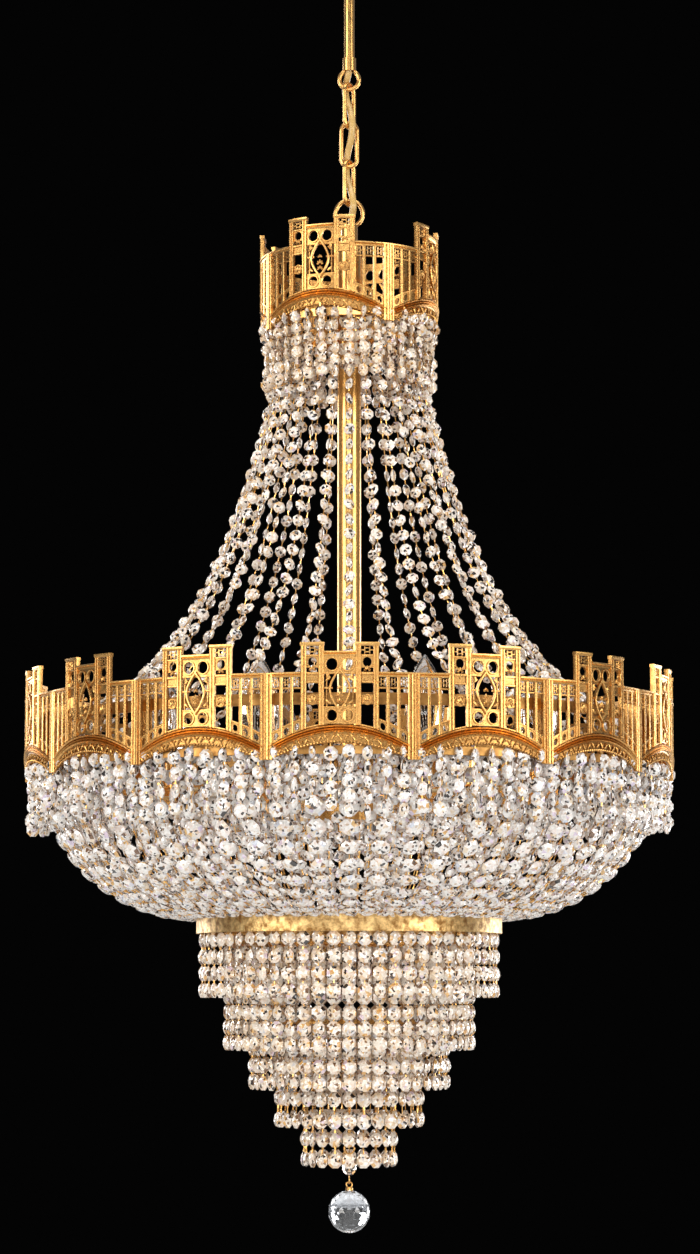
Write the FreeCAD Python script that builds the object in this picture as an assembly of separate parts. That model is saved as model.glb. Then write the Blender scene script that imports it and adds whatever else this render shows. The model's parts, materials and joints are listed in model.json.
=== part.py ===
import math
import os

import FreeCAD
import Part

# Crystal chandelier: pierced gilt crowns, bead strands, basket and five tiers,
# hung on a short chain below a ceiling canopy. Sizes in mm, +Z up, z = 0 at the ceiling.

V = FreeCAD.Vector
UP = V(0, 0, 1)

# ---------------------------------------------------------------- clearances
seat = 0.3                 # a round piece lies this far from what carries it
thread_clear = 0.1         # bore over a rod or tube that it grips
slide_clear = 0.25         # bore over the stem that the canopy runs on
link_clear = 0.8           # between the wires of neighbouring links
cord_clear = 1.5           # cord in the bores of the loops, where it turns

# ---------------------------------------------------------------- ceiling group
bracket_end = 8.0          # from a screw hole's middle to the bracket's end
bracket_width = 20.0
bracket_thickness = 3.0
bracket_hole_spacing = 88.0
bracket_hole_radius = 2.75
canopy_radius = 60.0
canopy_depth = 38.0
canopy_wall = 1.2
canopy_neck_radius = 12.0
canopy_rim = 6.0
canopy_step = 7.0
grip_ring_radius = 9.0
grip_ring_height = 9.0
grip_screw_radius = 1.5
grip_screw_length = 8.0
stem_radius = 5.0
stem_wall = 1.3
stem_length = 121.0
nut_height = 6.0
nut_flats = 17.0

# ---------------------------------------------------------------- chain
collar_radius = 6.4
collar_height = 12.5
wire = 4.0                 # diameter of loop and link wire
stem_loop_radius = 9.4     # to the middle of the wire
link_width = 15.0          # between the middles of the two long sides
link_length = 42.9         # between the middles of the two ends
link_turn = 55.0           # first and third link stand this far round from the loops
top_loop_radius = 13.0
top_loop_neck = 8.0        # radius of the neck under the top loop
top_loop_neck_height = 17.0

# ---------------------------------------------------------------- cord
cord_radius = 3.25
cord_out = 12.4             # how far the cord leans out beside the link ends
cord_lean = 117.5          # plan direction of its lean, degrees

# ---------------------------------------------------------------- column and rods
rod_radius = 5.0
rod_wall = 1.2
column_radius = 11.25
column_wall = 1.2
lower_rod_radius = 4.0

# ---------------------------------------------------------------- crown panels
panel_count = 15
top_panel_count = 4
crown_radius = 300.0       # to the outside of a panel joint
crown_base = -820.0        # underside of the corner posts
panel_bow = 2.7            # how far a panel bows out past the circle
top_crown_radius = 84.0
top_crown_base = -395.0
panel_thickness = 3.0
panel_gap = 0.25
panel_rail = 73.0          # height of the top rail over the corner posts' feet
panel_centre_height = 90.0
tower_height = 97.0
tower_inner = 0.13         # tower edges, as shares of half the panel's arc
tower_outer = 0.25
arch_rise = 17.0           # underside of the arched rail at mid panel
arch_rail = 13.0
post_share = 0.035
slat_bar = 2.6
rail_height = 4.5
crown_turn = -1.5          # plan angle of the first main panel's middle, from -Y
top_crown_turn = -19.0

# ---------------------------------------------------------------- hoops and frame
hoop_height = 7.0
hoop_lip = 2.0
hoop_wall = 6.4
hoop_flange = 12.0
hoop_drop = 12.0           # underside of the crown's hoop over the post feet: top of band
post_depth_clear = 0.3
frame_post_width = 6.0
frame_post_depth = 13.8    # from the crown's hoop in to the inner hoop
inner_hoop_wall = 3.0
inner_hoop_base = -772.0
inner_hoop_height = 10.0
spoke_count = 8
spoke_turn = 20.5
spoke_width = 10.0
spoke_thickness = 5.0
spoke_level = -836.0       # underside of the spokes by the hub
spoke_past_lamp = 32.0     # the spokes run level this far past the lamps' middles
spoke_bend_run = 30.0      # plan length of the rise
spoke_miter = 1.5
hub_radius = 32.0
hub_wall = 2.5
hub_base = -852.0
hub_height = 34.0
hub_cover_thickness = 3.0
hub_chamfer = 4.0
lead_hole_clear = 0.6
terminal_length = 26.0
terminal_width = 12.0
terminal_height = 10.0
wire_radius = 2.0

# ---------------------------------------------------------------- lamps
lamp_radius = 190.0        # plan radius of the lamp circle
pan_radius = 16.0
pan_height = 4.0
pan_foot_share = 0.6       # width of the pan's foot over its rim
contact_radius = 2.5       # hole through pan and holder for the lamp's wires
holder_radius = 12.0
holder_height = 37.0
holder_floor = 4.0
bulb_radius = 17.5
bulb_length = 89.0
bulb_neck = 10.5
bulb_cap_step = 3.0        # the screw cap is narrower than the neck by this much
bulb_cap_seat = 6.0        # the cap's end stands this far over the holder's floor

# ---------------------------------------------------------------- strands
strand_width = 8.0
strand_depth = 5.0
top_fringe_count = 38
top_fringe_end = -442.0
garland_count = 30
garland_top_radius = 69.5
garland_free_level = -442.0
garland_free_radius = 71.0
garland_pull_top = 73.0
garland_pull_top_radius = 92.0
garland_pull_low = 37.0
garland_pull_low_radius = 132.0
garland_pieces = 6
main_fringe_count = 120
main_fringe_end = -868.0
basket_count = 60
basket_pieces = 5
basket_full = 1.1          # fullness of the basket's curve; 1 is an ellipse

# ---------------------------------------------------------------- basket ring and tiers
basket_ring_radius = 142.0
basket_ring_base = -959.5
basket_ring_height = 19.0
basket_ring_wall = 2.0
basket_ring_flange = 10.0
ring_wall = 6.0
ring_height = 4.0
ring_boss = 9.0
ring_spokes = 3
ring_spoke_width = 5.0
ring_spoke_thickness = 2.5
ring_spoke_bite = 1.0      # how far a spoke runs into its ring
nut_small_flats = 13.0
nut_small_height = 5.0
rod_past_ring = 16.0       # the lower rod's end under the lowest ring
tier_inset = 5.5           # first tier's strands inside the basket ring
tier_steps = [23.0, 23.3, 23.8, 24.8]
tier_levels = [-966.0, -993.0, -1038.0, -1079.0]      # tops of the second to fifth ring
tier_ends = [-1019.4, -1066.5, -1102.9, -1139.2, -1174.7]
tier_counts = [62, 52, 42, 31, 20]

# ---------------------------------------------------------------- drop
finial_radius = 6.5
finial_height = 8.0
shank_radius = 1.5
eye_above_fringe = 18.0    # middle of the eye over the lowest fringe's end
eye_radius = 4.5
eye_wire = 1.6
drop_bead_radius = 7.0
drop_bead_depth = 7.0
drop_ring_radius = 3.6
drop_loop_radius = 2.6
drop_wire = 1.2
drop_clear = 0.3
cap_radius = 3.4
cap_height = 2.5
ball_radius = 19.5
ball_sides = 12


# ================================================================ helpers
def out(name, shape):
    shape.exportStep("parts/" + name + ".step")


def tube(outer, inner, low, high, x=0.0, y=0.0):
    body = Part.makeCylinder(outer, high - low, V(x, y, low))
    if inner > 0:
        body = body.cut(Part.makeCylinder(inner, high - low + 2, V(x, y, low - 1)))
    return body


def revolved(points, x=0.0, y=0.0):
    face = Part.Face(Part.makePolygon([V(r, 0, z) for r, z in points + points[:1]]))
    body = face.revolve(V(0, 0, 0), UP, 360)
    body.translate(V(x, y, 0))
    return body


def hexagon(flats, bore, low, height):
    r = flats / math.sqrt(3)
    pts = [V(r * math.cos(math.radians(60 * i)), r * math.sin(math.radians(60 * i)), low) for i in range(7)]
    body = Part.Face(Part.makePolygon(pts)).extrude(V(0, 0, height))
    return body.cut(Part.makeCylinder(bore, height + 2, V(0, 0, low - 1)))


def plan(angle, radius=1.0, z=0.0):
    """Point at a plan angle counted from -Y towards +X."""
    a = math.radians(angle)
    return V(radius * math.sin(a), -radius * math.cos(a), z)


def around(shape, count, first=0.0):
    made = []
    for i in range(count):
        copy = shape.copy()
        copy.rotate(V(0, 0, 0), UP, first + 360.0 * i / count)
        made.append(copy)
    return made


def ring_xz(radius, wire_r, centre_z):
    return Part.makeTorus(radius, wire_r, V(0, 0, centre_z), V(0, 1, 0))


def link(top_z, turn):
    """A straight-sided oval link hanging from the middle of its top wire."""
    half = link_width / 2.0
    r = wire / 2.0
    upper = top_z - half
    lower = top_z - link_length + half
    path = Part.Wire([
        Part.LineSegment(V(half, 0, lower), V(half, 0, upper)).toShape(),
        Part.Arc(V(half, 0, upper), V(0, 0, upper + half), V(-half, 0, upper)).toShape(),
        Part.LineSegment(V(-half, 0, upper), V(-half, 0, lower)).toShape(),
        Part.Arc(V(-half, 0, lower), V(0, 0, lower - half), V(half, 0, lower)).toShape(),
    ])
    section = Part.Wire([Part.makeCircle(r, V(half, 0, lower), UP)])
    body = path.makePipeShell([section], True, False)
    body.rotate(V(0, 0, 0), UP, turn)
    return body


def strand(path, width=strand_width, depth=strand_depth, angle=0.0):
    """A flat strand that follows a polyline of (radius, z) in one radial plane."""
    left, right = [], []
    for i, (r, z) in enumerate(path):
        a = path[max(i - 1, 0)]
        b = path[min(i + 1, len(path) - 1)]
        dr, dz = b[0] - a[0], b[1] - a[1]
        n = math.hypot(dr, dz)
        nr, nz = -dz / n * depth / 2.0, dr / n * depth / 2.0
        if i == 0:
            nr, nz = depth / 2.0, 0.0
        if i == len(path) - 1:
            nr, nz = 0.0, math.copysign(depth / 2.0, dr)
        left.append(V(0, r + nr, z + nz))
        right.append(V(0, r - nr, z - nz))
    pts = left + right[::-1]
    pts = [V(-width / 2.0, -p.y, p.z) for p in pts]
    body = Part.Face(Part.makePolygon(pts + pts[:1])).extrude(V(width, 0, 0))
    body.rotate(V(0, 0, 0), UP, angle)
    return body


def hung(radius, top, end):
    """A straight strand of three sides, flat side outwards."""
    w, d = strand_width / 2.0, strand_depth / 2.0
    pts = [V(-w, -radius - d, end), V(w, -radius - d, end), V(0, -radius + d, end)]
    return Part.Face(Part.makePolygon(pts + pts[:1])).extrude(V(0, 0, top - end))


def bezier(p, t):
    k = [(1 - t) ** 3, 3 * t * (1 - t) ** 2, 3 * t * t * (1 - t), t ** 3]
    return tuple(sum(k[i] * p[i][j] for i in range(4)) for j in range(2))


# ================================================================ crown panels
def panel_plan(valley_radius, bow, count):
    """Radius and centre of a panel's bend, and half its angle."""
    half_sector = math.pi / count
    half_chord = valley_radius * math.sin(half_sector)
    rise = valley_radius * (1 - math.cos(half_sector)) + bow
    bend = (half_chord ** 2 + rise ** 2) / (2 * rise)
    centre = valley_radius * math.cos(half_sector) + rise - bend
    return bend, centre, math.asin(half_chord / bend)


def panel(valley_radius, bow, count, base):
    """One pierced crown panel, its middle towards -Y: posts, slats, two towers,
    a raised centre with a pointed oval and two round lights, and an arched foot."""
    bend, centre, half = panel_plan(valley_radius, bow, count)
    half_gap = panel_gap / bend
    edges = [-0.5, -tower_outer, -tower_inner, tower_inner, tower_outer, 0.5]

    def at(share, radius):
        a = max(min(share * 2 * half, half - half_gap), -half + half_gap)
        return V(radius * math.sin(a), -centre - radius * math.cos(a), base)

    outline = [at(s, bend) for s in edges] + [at(s, bend - panel_thickness) for s in reversed(edges)]
    plate = Part.Face(Part.makePolygon(outline + outline[:1])).extrude(V(0, 0, tower_height))
    arc_length = 2 * half * bend
    tools = []

    def facet(share):
        """Local frame of the flat that holds a share of the arc: origin, along, outwards."""
        for s0, s1 in zip(edges[:-1], edges[1:]):
            if share <= s1 + 1e-9:
                break
        a, b = at(s0, bend), at(s1, bend)
        along = (b - a).normalize()
        return a, along, V(along.y, -along.x, 0), s0, (b - a).Length / (s1 - s0)

    def light(points):
        """Cuts a closed outline given as (share, height) in its flat."""
        mid = sum(p[0] for p in points) / len(points)
        a, along, outward, s0, scale = facet(mid)
        inner = a - outward * (panel_thickness + 2)
        pts = [inner + along * ((s - s0) * scale) + UP * v for s, v in points]
        tools.append(Part.Face(Part.makePolygon(pts + pts[:1])).extrude(outward * (panel_thickness + 4)))

    def box(s0, s1, v0, v1, v2=None):
        light([(s0, v0), (s1, v0 if v2 is None else v2), (s1, v1), (s0, v1)])

    def arch(share):
        reach = 0.5 - post_share
        return arch_rise * (1 - (share / reach) ** 2)

    # the arched foot
    x_of = lambda s: bend * math.sin(s * 2 * half)
    shares = [-0.5 + post_share, -0.34, -0.18, 0.0, 0.18, 0.34, 0.5 - post_share]
    pts = [V(x_of(s), 0, base + max(arch(s), 0.0)) for s in shares]
    pts = [V(p.x, -centre - bend - 5, p.z) for p in pts]
    low = [V(pts[-1].x, pts[-1].y, base - 5), V(pts[0].x, pts[0].y, base - 5)]
    foot = pts + low
    tools.append(Part.Face(Part.makePolygon(foot + foot[:1])).extrude(V(0, bend + 10, 0)))

    # notches that leave the towers and the raised centre
    for sign in (-1, 1):
        a, along, outward, s0, scale = facet(sign * 0.4)
        length = (0.5 - tower_outer) * scale
        start = a - outward * (panel_thickness + 3) + UP * panel_rail
        if sign < 0:
            start = start - along * 6.0
        end = start + along * (length + 6)
        notch = Part.makePolygon([start, end, end + UP * tower_height, start + UP * tower_height, start])
        tools.append(Part.Face(notch).extrude(outward * (panel_thickness + 6)))
    a, along, outward, s0, scale = facet(0.0)
    start = a - outward * (panel_thickness + 3) + UP * panel_centre_height
    length = 2 * tower_inner * scale
    end = start + along * length
    notch = Part.makePolygon([start, end, end + UP * tower_height, start + UP * tower_height, start])
    tools.append(Part.Face(notch).extrude(outward * (panel_thickness + 6)))

    # slat lights, towers, centre
    bar = slat_bar / arc_length
    reach = 0.5 - post_share - tower_outer
    pitch = (reach + bar) / 3.0
    for sign in (-1, 1):
        for i in range(3):
            s0 = tower_outer + bar + i * (pitch - bar / 3.0)
            s1 = s0 + pitch - bar * 4.0 / 3.0
            foot_in, foot_out = arch(s0) + arch_rail, arch(s1) + arch_rail
            if sign > 0:
                box(s0, s1, foot_in, panel_rail - rail_height, foot_out)
            else:
                box(-s1, -s0, foot_out, panel_rail - rail_height, foot_in)
        t0, t1 = tower_inner + bar * 1.2, tower_outer - bar * 1.2
        t0, t1 = (t0, t1) if sign > 0 else (-t1, -t0)
        sill = arch(tower_inner) + arch_rail
        box(t0, t1, sill, panel_rail - 2 * rail_height)
        box(t0, t1, panel_rail, tower_height - rail_height)
    # the pointed oval
    oval_half = 7.0 / arc_length
    oval_low = arch_rise + arch_rail + 2.0
    oval_high = panel_rail - rail_height
    oval_mid = (oval_low + oval_high) / 2.0
    oval_step = (oval_high - oval_low) / 4.0
    light([(0.0, oval_low), (oval_half, oval_mid - oval_step), (oval_half, oval_mid + oval_step),
           (0.0, oval_high), (-oval_half, oval_mid + oval_step), (-oval_half, oval_mid - oval_step)])
    # two round lights over the rail
    eye = (panel_centre_height - panel_rail) / 2.0 - 2.0
    for sign in (-1, 1):
        mid = sign * tower_inner / 2.0
        turns = [math.radians(22.5 + 45 * i) for i in range(8)]
        eye_level = panel_rail + 1 + eye
        light([(mid + eye * math.cos(t) / arc_length, eye_level + eye * math.sin(t)) for t in turns])
    return plate.cut(tools)


# ================================================================ build
os.makedirs("parts", exist_ok=True)

# ---- ceiling bracket, stem, canopy
bracket_length = bracket_hole_spacing + 2 * bracket_end
bracket = Part.makeBox(bracket_length, bracket_width, bracket_thickness,
                       V(-bracket_length / 2, -bracket_width / 2, -bracket_thickness))
for side in (-1, 1):
    bracket = bracket.cut(Part.makeCylinder(bracket_hole_radius, bracket_thickness + 2,
                                            V(side * bracket_hole_spacing / 2, 0, -bracket_thickness - 1)))
bracket = bracket.cut(Part.makeCylinder(stem_radius + thread_clear, bracket_thickness + 2,
                                        V(0, 0, -bracket_thickness - 1)))
out("ceiling_bracket", bracket)

stem_end = -stem_length
out("stem_tube", tube(stem_radius, stem_radius - stem_wall, stem_end, 0.0))
out("stem_nut", hexagon(nut_flats, stem_radius + thread_clear, -bracket_thickness - nut_height, nut_height))

neck_in = stem_radius + slide_clear
outer = [(canopy_radius, 0.0), (canopy_radius, -canopy_rim),
         (canopy_radius - canopy_step, -canopy_depth * 0.5),
         (canopy_radius / 2 + 4, -canopy_depth * 0.83), (canopy_neck_radius, -canopy_depth)]
inner = [(r - canopy_wall * (0.0 if i == len(outer) - 1 else 1.0), z + (canopy_wall if i > 1 else 0.0))
         for i, (r, z) in enumerate(outer)]
neck = [(neck_in, -canopy_depth), (neck_in, -canopy_depth + canopy_wall)]
out("ceiling_canopy", revolved(outer + neck + inner[::-1]))

grip_top = -canopy_depth
grip = tube(grip_ring_radius, neck_in, grip_top - grip_ring_height, grip_top)
grip_mid = grip_top - grip_ring_height / 2
grip = grip.cut(Part.makeCylinder(grip_screw_radius + thread_clear, 20, V(0, 0, grip_mid), V(0, 1, 0)))
out("canopy_grip_ring", grip)
out("canopy_grip_screw", Part.makeCylinder(grip_screw_radius, grip_screw_length,
                                           V(0, stem_radius + slide_clear, grip_mid), V(0, 1, 0)))

# ---- stem loop: collar over the stem's end, bored for the cord, and its ring
collar_low = stem_end - collar_height
loop_z = collar_low - stem_loop_radius + wire / 4
loop_collar = tube(collar_radius, cord_radius + cord_clear, collar_low, stem_end)
out("stem_loop", loop_collar.fuse(ring_xz(stem_loop_radius, wire / 2, loop_z).cut(
    Part.makeCylinder(cord_radius + cord_clear, collar_height + wire, V(0, 0, collar_low - wire)))))

step = wire + link_clear
link_tops = [loop_z - stem_loop_radius + step]
for i in range(2):
    link_tops.append(link_tops[-1] - link_length + step)
for i, top in enumerate(link_tops):
    out("chain_link_%d" % (i + 1), link(top, link_turn if i != 1 else 0.0))
top_loop_top = link_tops[-1] - link_length + step
top_loop_z = top_loop_top - top_loop_radius

# ---- top loop on its neck, screwed on the rod
neck_top = top_loop_z - top_loop_radius + wire / 4
neck_low = neck_top - top_loop_neck_height
rod_top = neck_top - top_loop_neck_height + 10.0
neck = tube(top_loop_neck, cord_radius + cord_clear, rod_top, neck_top).fuse(
    tube(top_loop_neck, rod_radius + thread_clear, neck_low, rod_top))
top_ring = ring_xz(top_loop_radius, wire / 2, top_loop_z).cut(
    Part.makeCylinder(cord_radius + cord_clear, wire * 3, V(0, 0, neck_top - wire * 2)))
out("top_loop", neck.fuse(top_ring))

# ---- hub levels
hub_top = hub_base + hub_height
out("centre_rod", tube(rod_radius, rod_radius - rod_wall, hub_top - hub_wall - nut_height, rod_top))

# ---- top frame: hoop, spider and column
top_bend, top_centre, top_half = panel_plan(top_crown_radius, 0.0, top_panel_count)
top_inside = (top_bend - panel_thickness) * math.cos(top_half * tower_outer)
top_hoop_radius = top_inside - seat
top_hoop_base = top_crown_base + hoop_drop - hoop_height
top_lip = strand_depth
top_flange = 11.0
top_hoop = revolved([
    (top_hoop_radius - top_lip - top_flange, top_hoop_base + hoop_height - hoop_lip),
    (top_hoop_radius - top_lip, top_hoop_base + hoop_height - hoop_lip),
    (top_hoop_radius - top_lip, top_hoop_base),
    (top_hoop_radius, top_hoop_base),
    (top_hoop_radius, top_hoop_base + hoop_height),
    (top_hoop_radius - top_lip - top_flange, top_hoop_base + hoop_height),
])
spider_z = top_hoop_base + hoop_height
spider = tube(column_radius + 6.0, rod_radius + thread_clear, spider_z, spider_z + spoke_thickness)
for arm in range(4):
    reach = top_hoop_radius - top_lip
    bar = Part.makeBox(reach - column_radius, 8.0, spoke_thickness, V(column_radius, -4.0, spider_z))
    bar.rotate(V(0, 0, 0), UP, 90 * arm + top_crown_turn)
    spider = spider.fuse(bar)
spider = spider.cut(Part.makeCylinder(rod_radius + thread_clear, 30, V(0, 0, spider_z - 10)))
out("top_hoop", top_hoop)
out("top_spider", spider)
out("upper_column", tube(column_radius, column_radius - column_wall, spider_z + spoke_thickness, neck_low))
out("centre_column", tube(column_radius, column_radius - column_wall, hub_top, spider_z))

# ---- crown panels
top_panel = panel(top_crown_radius, 0.0, top_panel_count, top_crown_base)
out("top_crown_panels", Part.makeCompound(around(top_panel, top_panel_count, top_crown_turn)))
main_panel = panel(crown_radius, panel_bow, panel_count, crown_base)
out("crown_panels", Part.makeCompound(around(main_panel, panel_count, crown_turn)))

# ---- main frame: hoop behind the panels, posts at their joints, inner hoop
bend, centre, half = panel_plan(crown_radius, panel_bow, panel_count)
panel_inside = crown_radius - panel_thickness / math.cos(half - math.pi / panel_count)
hoop_radius = panel_inside - post_depth_clear
hoop_base = crown_base + hoop_drop - hoop_height
hoop_top = hoop_base + hoop_height
out("lower_hoop", revolved([
    (hoop_radius - hoop_wall - hoop_flange, hoop_top - hoop_lip),
    (hoop_radius - hoop_wall, hoop_top - hoop_lip),
    (hoop_radius - hoop_wall, hoop_base),
    (hoop_radius, hoop_base),
    (hoop_radius, hoop_top),
    (hoop_radius - hoop_wall - hoop_flange, hoop_top),
]))
inner_hoop_radius = hoop_radius - seat - frame_post_depth
inner_inside = inner_hoop_radius - inner_hoop_wall
out("inner_hoop", tube(inner_hoop_radius, inner_inside, inner_hoop_base, inner_hoop_base + inner_hoop_height))
frame_post = Part.makeBox(frame_post_width, frame_post_depth,
                          inner_hoop_base + inner_hoop_height + 2 - hoop_top,
                          V(-frame_post_width / 2, -hoop_radius, hoop_top))
out("frame_posts", Part.makeCompound(around(frame_post, panel_count, crown_turn + 180.0 / panel_count)))

# ---- hub and its eight spokes
hub_bore = rod_radius + thread_clear
hub_corner = hub_chamfer + hub_wall / 2
hub = revolved([
    (hub_bore, hub_top), (hub_radius - hub_chamfer, hub_top), (hub_radius, hub_top - hub_chamfer),
    (hub_radius, hub_base), (hub_radius - hub_wall, hub_base), (hub_radius - hub_wall, hub_top - hub_corner),
    (hub_radius - hub_corner, hub_top - hub_wall), (hub_bore, hub_top - hub_wall),
])
spoke_top = spoke_level + spoke_thickness
wire_z = spoke_top + wire_radius
lead_start = hub_radius - hub_wall * 2
lead_at = plan(0, lead_start, wire_z)
lead_hole = Part.makeCylinder(wire_radius + lead_hole_clear, hub_wall * 3, lead_at, plan(0))
out("hub", hub.cut(around(lead_hole, spoke_count, spoke_turn)))
hub_cover_low = hub_base - hub_cover_thickness
out("hub_cover", tube(hub_radius, lower_rod_radius + thread_clear, hub_cover_low, hub_base))
spoke_end = inner_hoop_radius
spoke_bend_start = lamp_radius + spoke_past_lamp
spoke_bend_end = spoke_bend_start + spoke_bend_run
seat_top = hoop_top + spoke_thickness
spoke_profile = [(hub_radius + seat, spoke_level), (spoke_bend_start, spoke_level),
                 (spoke_bend_end, hoop_top), (spoke_end, hoop_top),
                 (spoke_end, seat_top), (spoke_bend_end - spoke_miter, seat_top),
                 (spoke_bend_start - spoke_miter, spoke_top), (hub_radius + seat, spoke_top)]
pts = [V(-spoke_width / 2, -r, z) for r, z in spoke_profile]
spoke = Part.Face(Part.makePolygon(pts + pts[:1])).extrude(V(spoke_width, 0, 0))
out("lamp_spokes", Part.makeCompound(around(spoke, spoke_count, spoke_turn)))
out("terminal_block", Part.makeBox(terminal_length, terminal_width, terminal_height,
                                   V(-terminal_length / 2, -terminal_width / 2, hub_base)))
lead = Part.makeCylinder(wire_radius, lamp_radius - pan_radius - lead_start, lead_at, plan(0))
out("lamp_leads", Part.makeCompound(around(lead, spoke_count, spoke_turn)))

# ---- lamps
pan, holder, bulb = [], [], []
holder_low = spoke_top + pan_height
holder_high = spoke_top + holder_height
pan_shape = revolved([(contact_radius, spoke_top), (pan_radius * pan_foot_share, spoke_top),
                      (pan_radius, holder_low - pan_height / 4), (pan_radius, holder_low),
                      (contact_radius, holder_low)])
holder_shape = tube(holder_radius, bulb_neck + seat, holder_low, holder_high).fuse(
    tube(holder_radius, contact_radius, holder_low, holder_low + holder_floor))
bulb_low = holder_low + holder_floor + bulb_cap_seat
bulb_top = bulb_low + bulb_length + 10
cap_r = bulb_neck - bulb_cap_step
bulb_shape = revolved([(0, bulb_low), (cap_r, bulb_low), (cap_r, holder_high - 4), (bulb_neck, holder_high),
                       (bulb_radius - 2, holder_high + 14), (bulb_radius, holder_high + 26),
                       (bulb_radius * 0.72, holder_high + 50), (3.0, bulb_top - 6), (0, bulb_top)])
for shape, bunch in ((pan_shape, pan), (holder_shape, holder), (bulb_shape, bulb)):
    shape.translate(plan(0, lamp_radius))
    bunch.extend(around(shape, spoke_count, spoke_turn))
out("drip_pans", Part.makeCompound(pan))
out("lamp_holders", Part.makeCompound(holder))
out("candle_bulbs", Part.makeCompound(bulb))

# ---- strands of the top collar and the sweep down to the inner hoop
top_fringe = hung(top_hoop_radius - strand_depth / 2, top_hoop_base - seat, top_fringe_end)
out("top_fringe", Part.makeCompound(around(top_fringe, top_fringe_count)))
garland_top = top_hoop_base + hoop_height - hoop_lip - seat
ctrl = [(garland_free_radius, garland_free_level),
        (garland_pull_top_radius, garland_free_level - garland_pull_top),
        (garland_pull_low_radius, inner_hoop_base + garland_pull_low),
        (inner_inside - seat, inner_hoop_base + inner_hoop_height / 2)]
sweep = [(garland_top_radius, garland_top)]
sweep += [bezier(ctrl, i / garland_pieces) for i in range(garland_pieces + 1)]
out("upper_garlands", Part.makeCompound(around(strand(sweep), garland_count)))

# ---- main fringe and basket
fringe_radius = hoop_radius - hoop_wall / 2
main_fringe = hung(fringe_radius, hoop_base - seat, main_fringe_end)
out("main_fringe", Part.makeCompound(around(main_fringe, main_fringe_count)))
basket_top_radius = hoop_radius - hoop_wall - hoop_flange / 2
basket_top = hoop_top - hoop_lip - seat
basket_foot = basket_ring_base + basket_ring_height / 2
basket_end = basket_ring_radius + seat
sweep = []
for i in range(basket_pieces + 1):
    t = math.radians(90.0 * i / basket_pieces)
    sweep.append((basket_end + (basket_top_radius - basket_end) * math.cos(t) ** basket_full,
                  basket_top - (basket_top - basket_foot) * math.sin(t)))
out("basket_strands", Part.makeCompound(around(strand(sweep), basket_count)))

# ---- basket ring and tier rings, each on its own spokes
lower_nuts = []


def spoked(ring, inner, level):
    boss = tube(ring_boss, lower_rod_radius + thread_clear, level - ring_spoke_thickness, level)
    body = ring
    for k in range(ring_spokes):
        bar = Part.makeBox(ring_spoke_width, inner - lower_rod_radius - seat * 6, ring_spoke_thickness,
                           V(-ring_spoke_width / 2, -inner, level - ring_spoke_thickness))
        bar.rotate(V(0, 0, 0), UP, 360.0 * k / ring_spokes)
        boss = boss.fuse(bar)
    nut_low = level - ring_spoke_thickness - nut_small_height
    lower_nuts.append(hexagon(nut_small_flats, lower_rod_radius + thread_clear, nut_low, nut_small_height))
    return body.fuse(boss)


inner = basket_ring_radius - basket_ring_flange
band = revolved([
    (inner, basket_ring_base), (basket_ring_radius, basket_ring_base),
    (basket_ring_radius, basket_ring_base + basket_ring_height),
    (basket_ring_radius - basket_ring_wall, basket_ring_base + basket_ring_height),
    (basket_ring_radius - basket_ring_wall, basket_ring_base + 2.0), (inner, basket_ring_base + 2.0)])
out("basket_ring", spoked(band, inner + ring_spoke_bite, basket_ring_base + ring_spoke_thickness))
tier_radii = [basket_ring_radius - tier_inset]
for tier_step in tier_steps:
    tier_radii.append(tier_radii[-1] - tier_step)
tier_tops = [basket_ring_base]
for i, level in enumerate(tier_levels):
    r = tier_radii[i + 1]
    ring = tube(r + ring_wall / 2, r - ring_wall / 2, level - ring_height, level)
    out("tier_ring_%d" % (i + 2), spoked(ring, r - ring_wall / 2 + ring_spoke_bite, level))
    tier_tops.append(level - ring_height)
for i in range(5):
    one = hung(tier_radii[i], tier_tops[i] - seat, tier_ends[i])
    out("tier_strands_%d" % (i + 1), Part.makeCompound(around(one, tier_counts[i])))

rod_low = tier_levels[-1] - rod_past_ring
eye_z = tier_ends[-1] + eye_above_fringe
out("lower_rod", tube(lower_rod_radius, 0.0, rod_low, hub_base))
lower_nuts.append(hexagon(nut_small_flats, lower_rod_radius + thread_clear, hub_cover_low - nut_small_height,
                          nut_small_height))
out("rod_nuts", Part.makeCompound(lower_nuts + [
    hexagon(nut_flats, rod_radius + thread_clear, hub_top - hub_wall - nut_height, nut_height),
    hexagon(nut_flats - 1, rod_radius + thread_clear, spider_z - nut_height, nut_height)]))

# ---- finial with the eye that carries the drop
shank_low = eye_z + eye_radius + eye_wire / 4
finial_bore = lower_rod_radius + thread_clear
finial = revolved([(0, rod_low - 1.0), (finial_radius, rod_low - 1.0),
                   (finial_radius, rod_low + finial_height), (finial_bore, rod_low + finial_height),
                   (finial_bore, rod_low), (0, rod_low)])
shank = Part.makeCylinder(shank_radius, rod_low - 0.5 - shank_low, V(0, 0, shank_low))
out("finial", finial.fuse(shank).fuse(ring_xz(eye_radius, eye_wire / 2, eye_z)))

# ---- drop: ring, octagon bead, ring, faceted ball with its cap
def ring_yz(radius, wire_r, centre_z):
    return Part.makeTorus(radius, wire_r, V(0, 0, centre_z), V(1, 0, 0))


def cut_bead(radius, depth, centre_z):
    """An octagon crystal bead, bevelled on both faces, facing -Y."""
    rims = []
    for scale, y in ((0.62, -depth / 2), (1.0, -depth * 0.08), (1.0, depth * 0.08), (0.62, depth / 2)):
        pts = [V(radius * scale * math.cos(math.radians(22.5 + 45 * i)), y,
                 centre_z + radius * scale * math.sin(math.radians(22.5 + 45 * i))) for i in range(9)]
        rims.append(Part.makePolygon(pts))
    return Part.makeLoft(rims, True, True)


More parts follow.
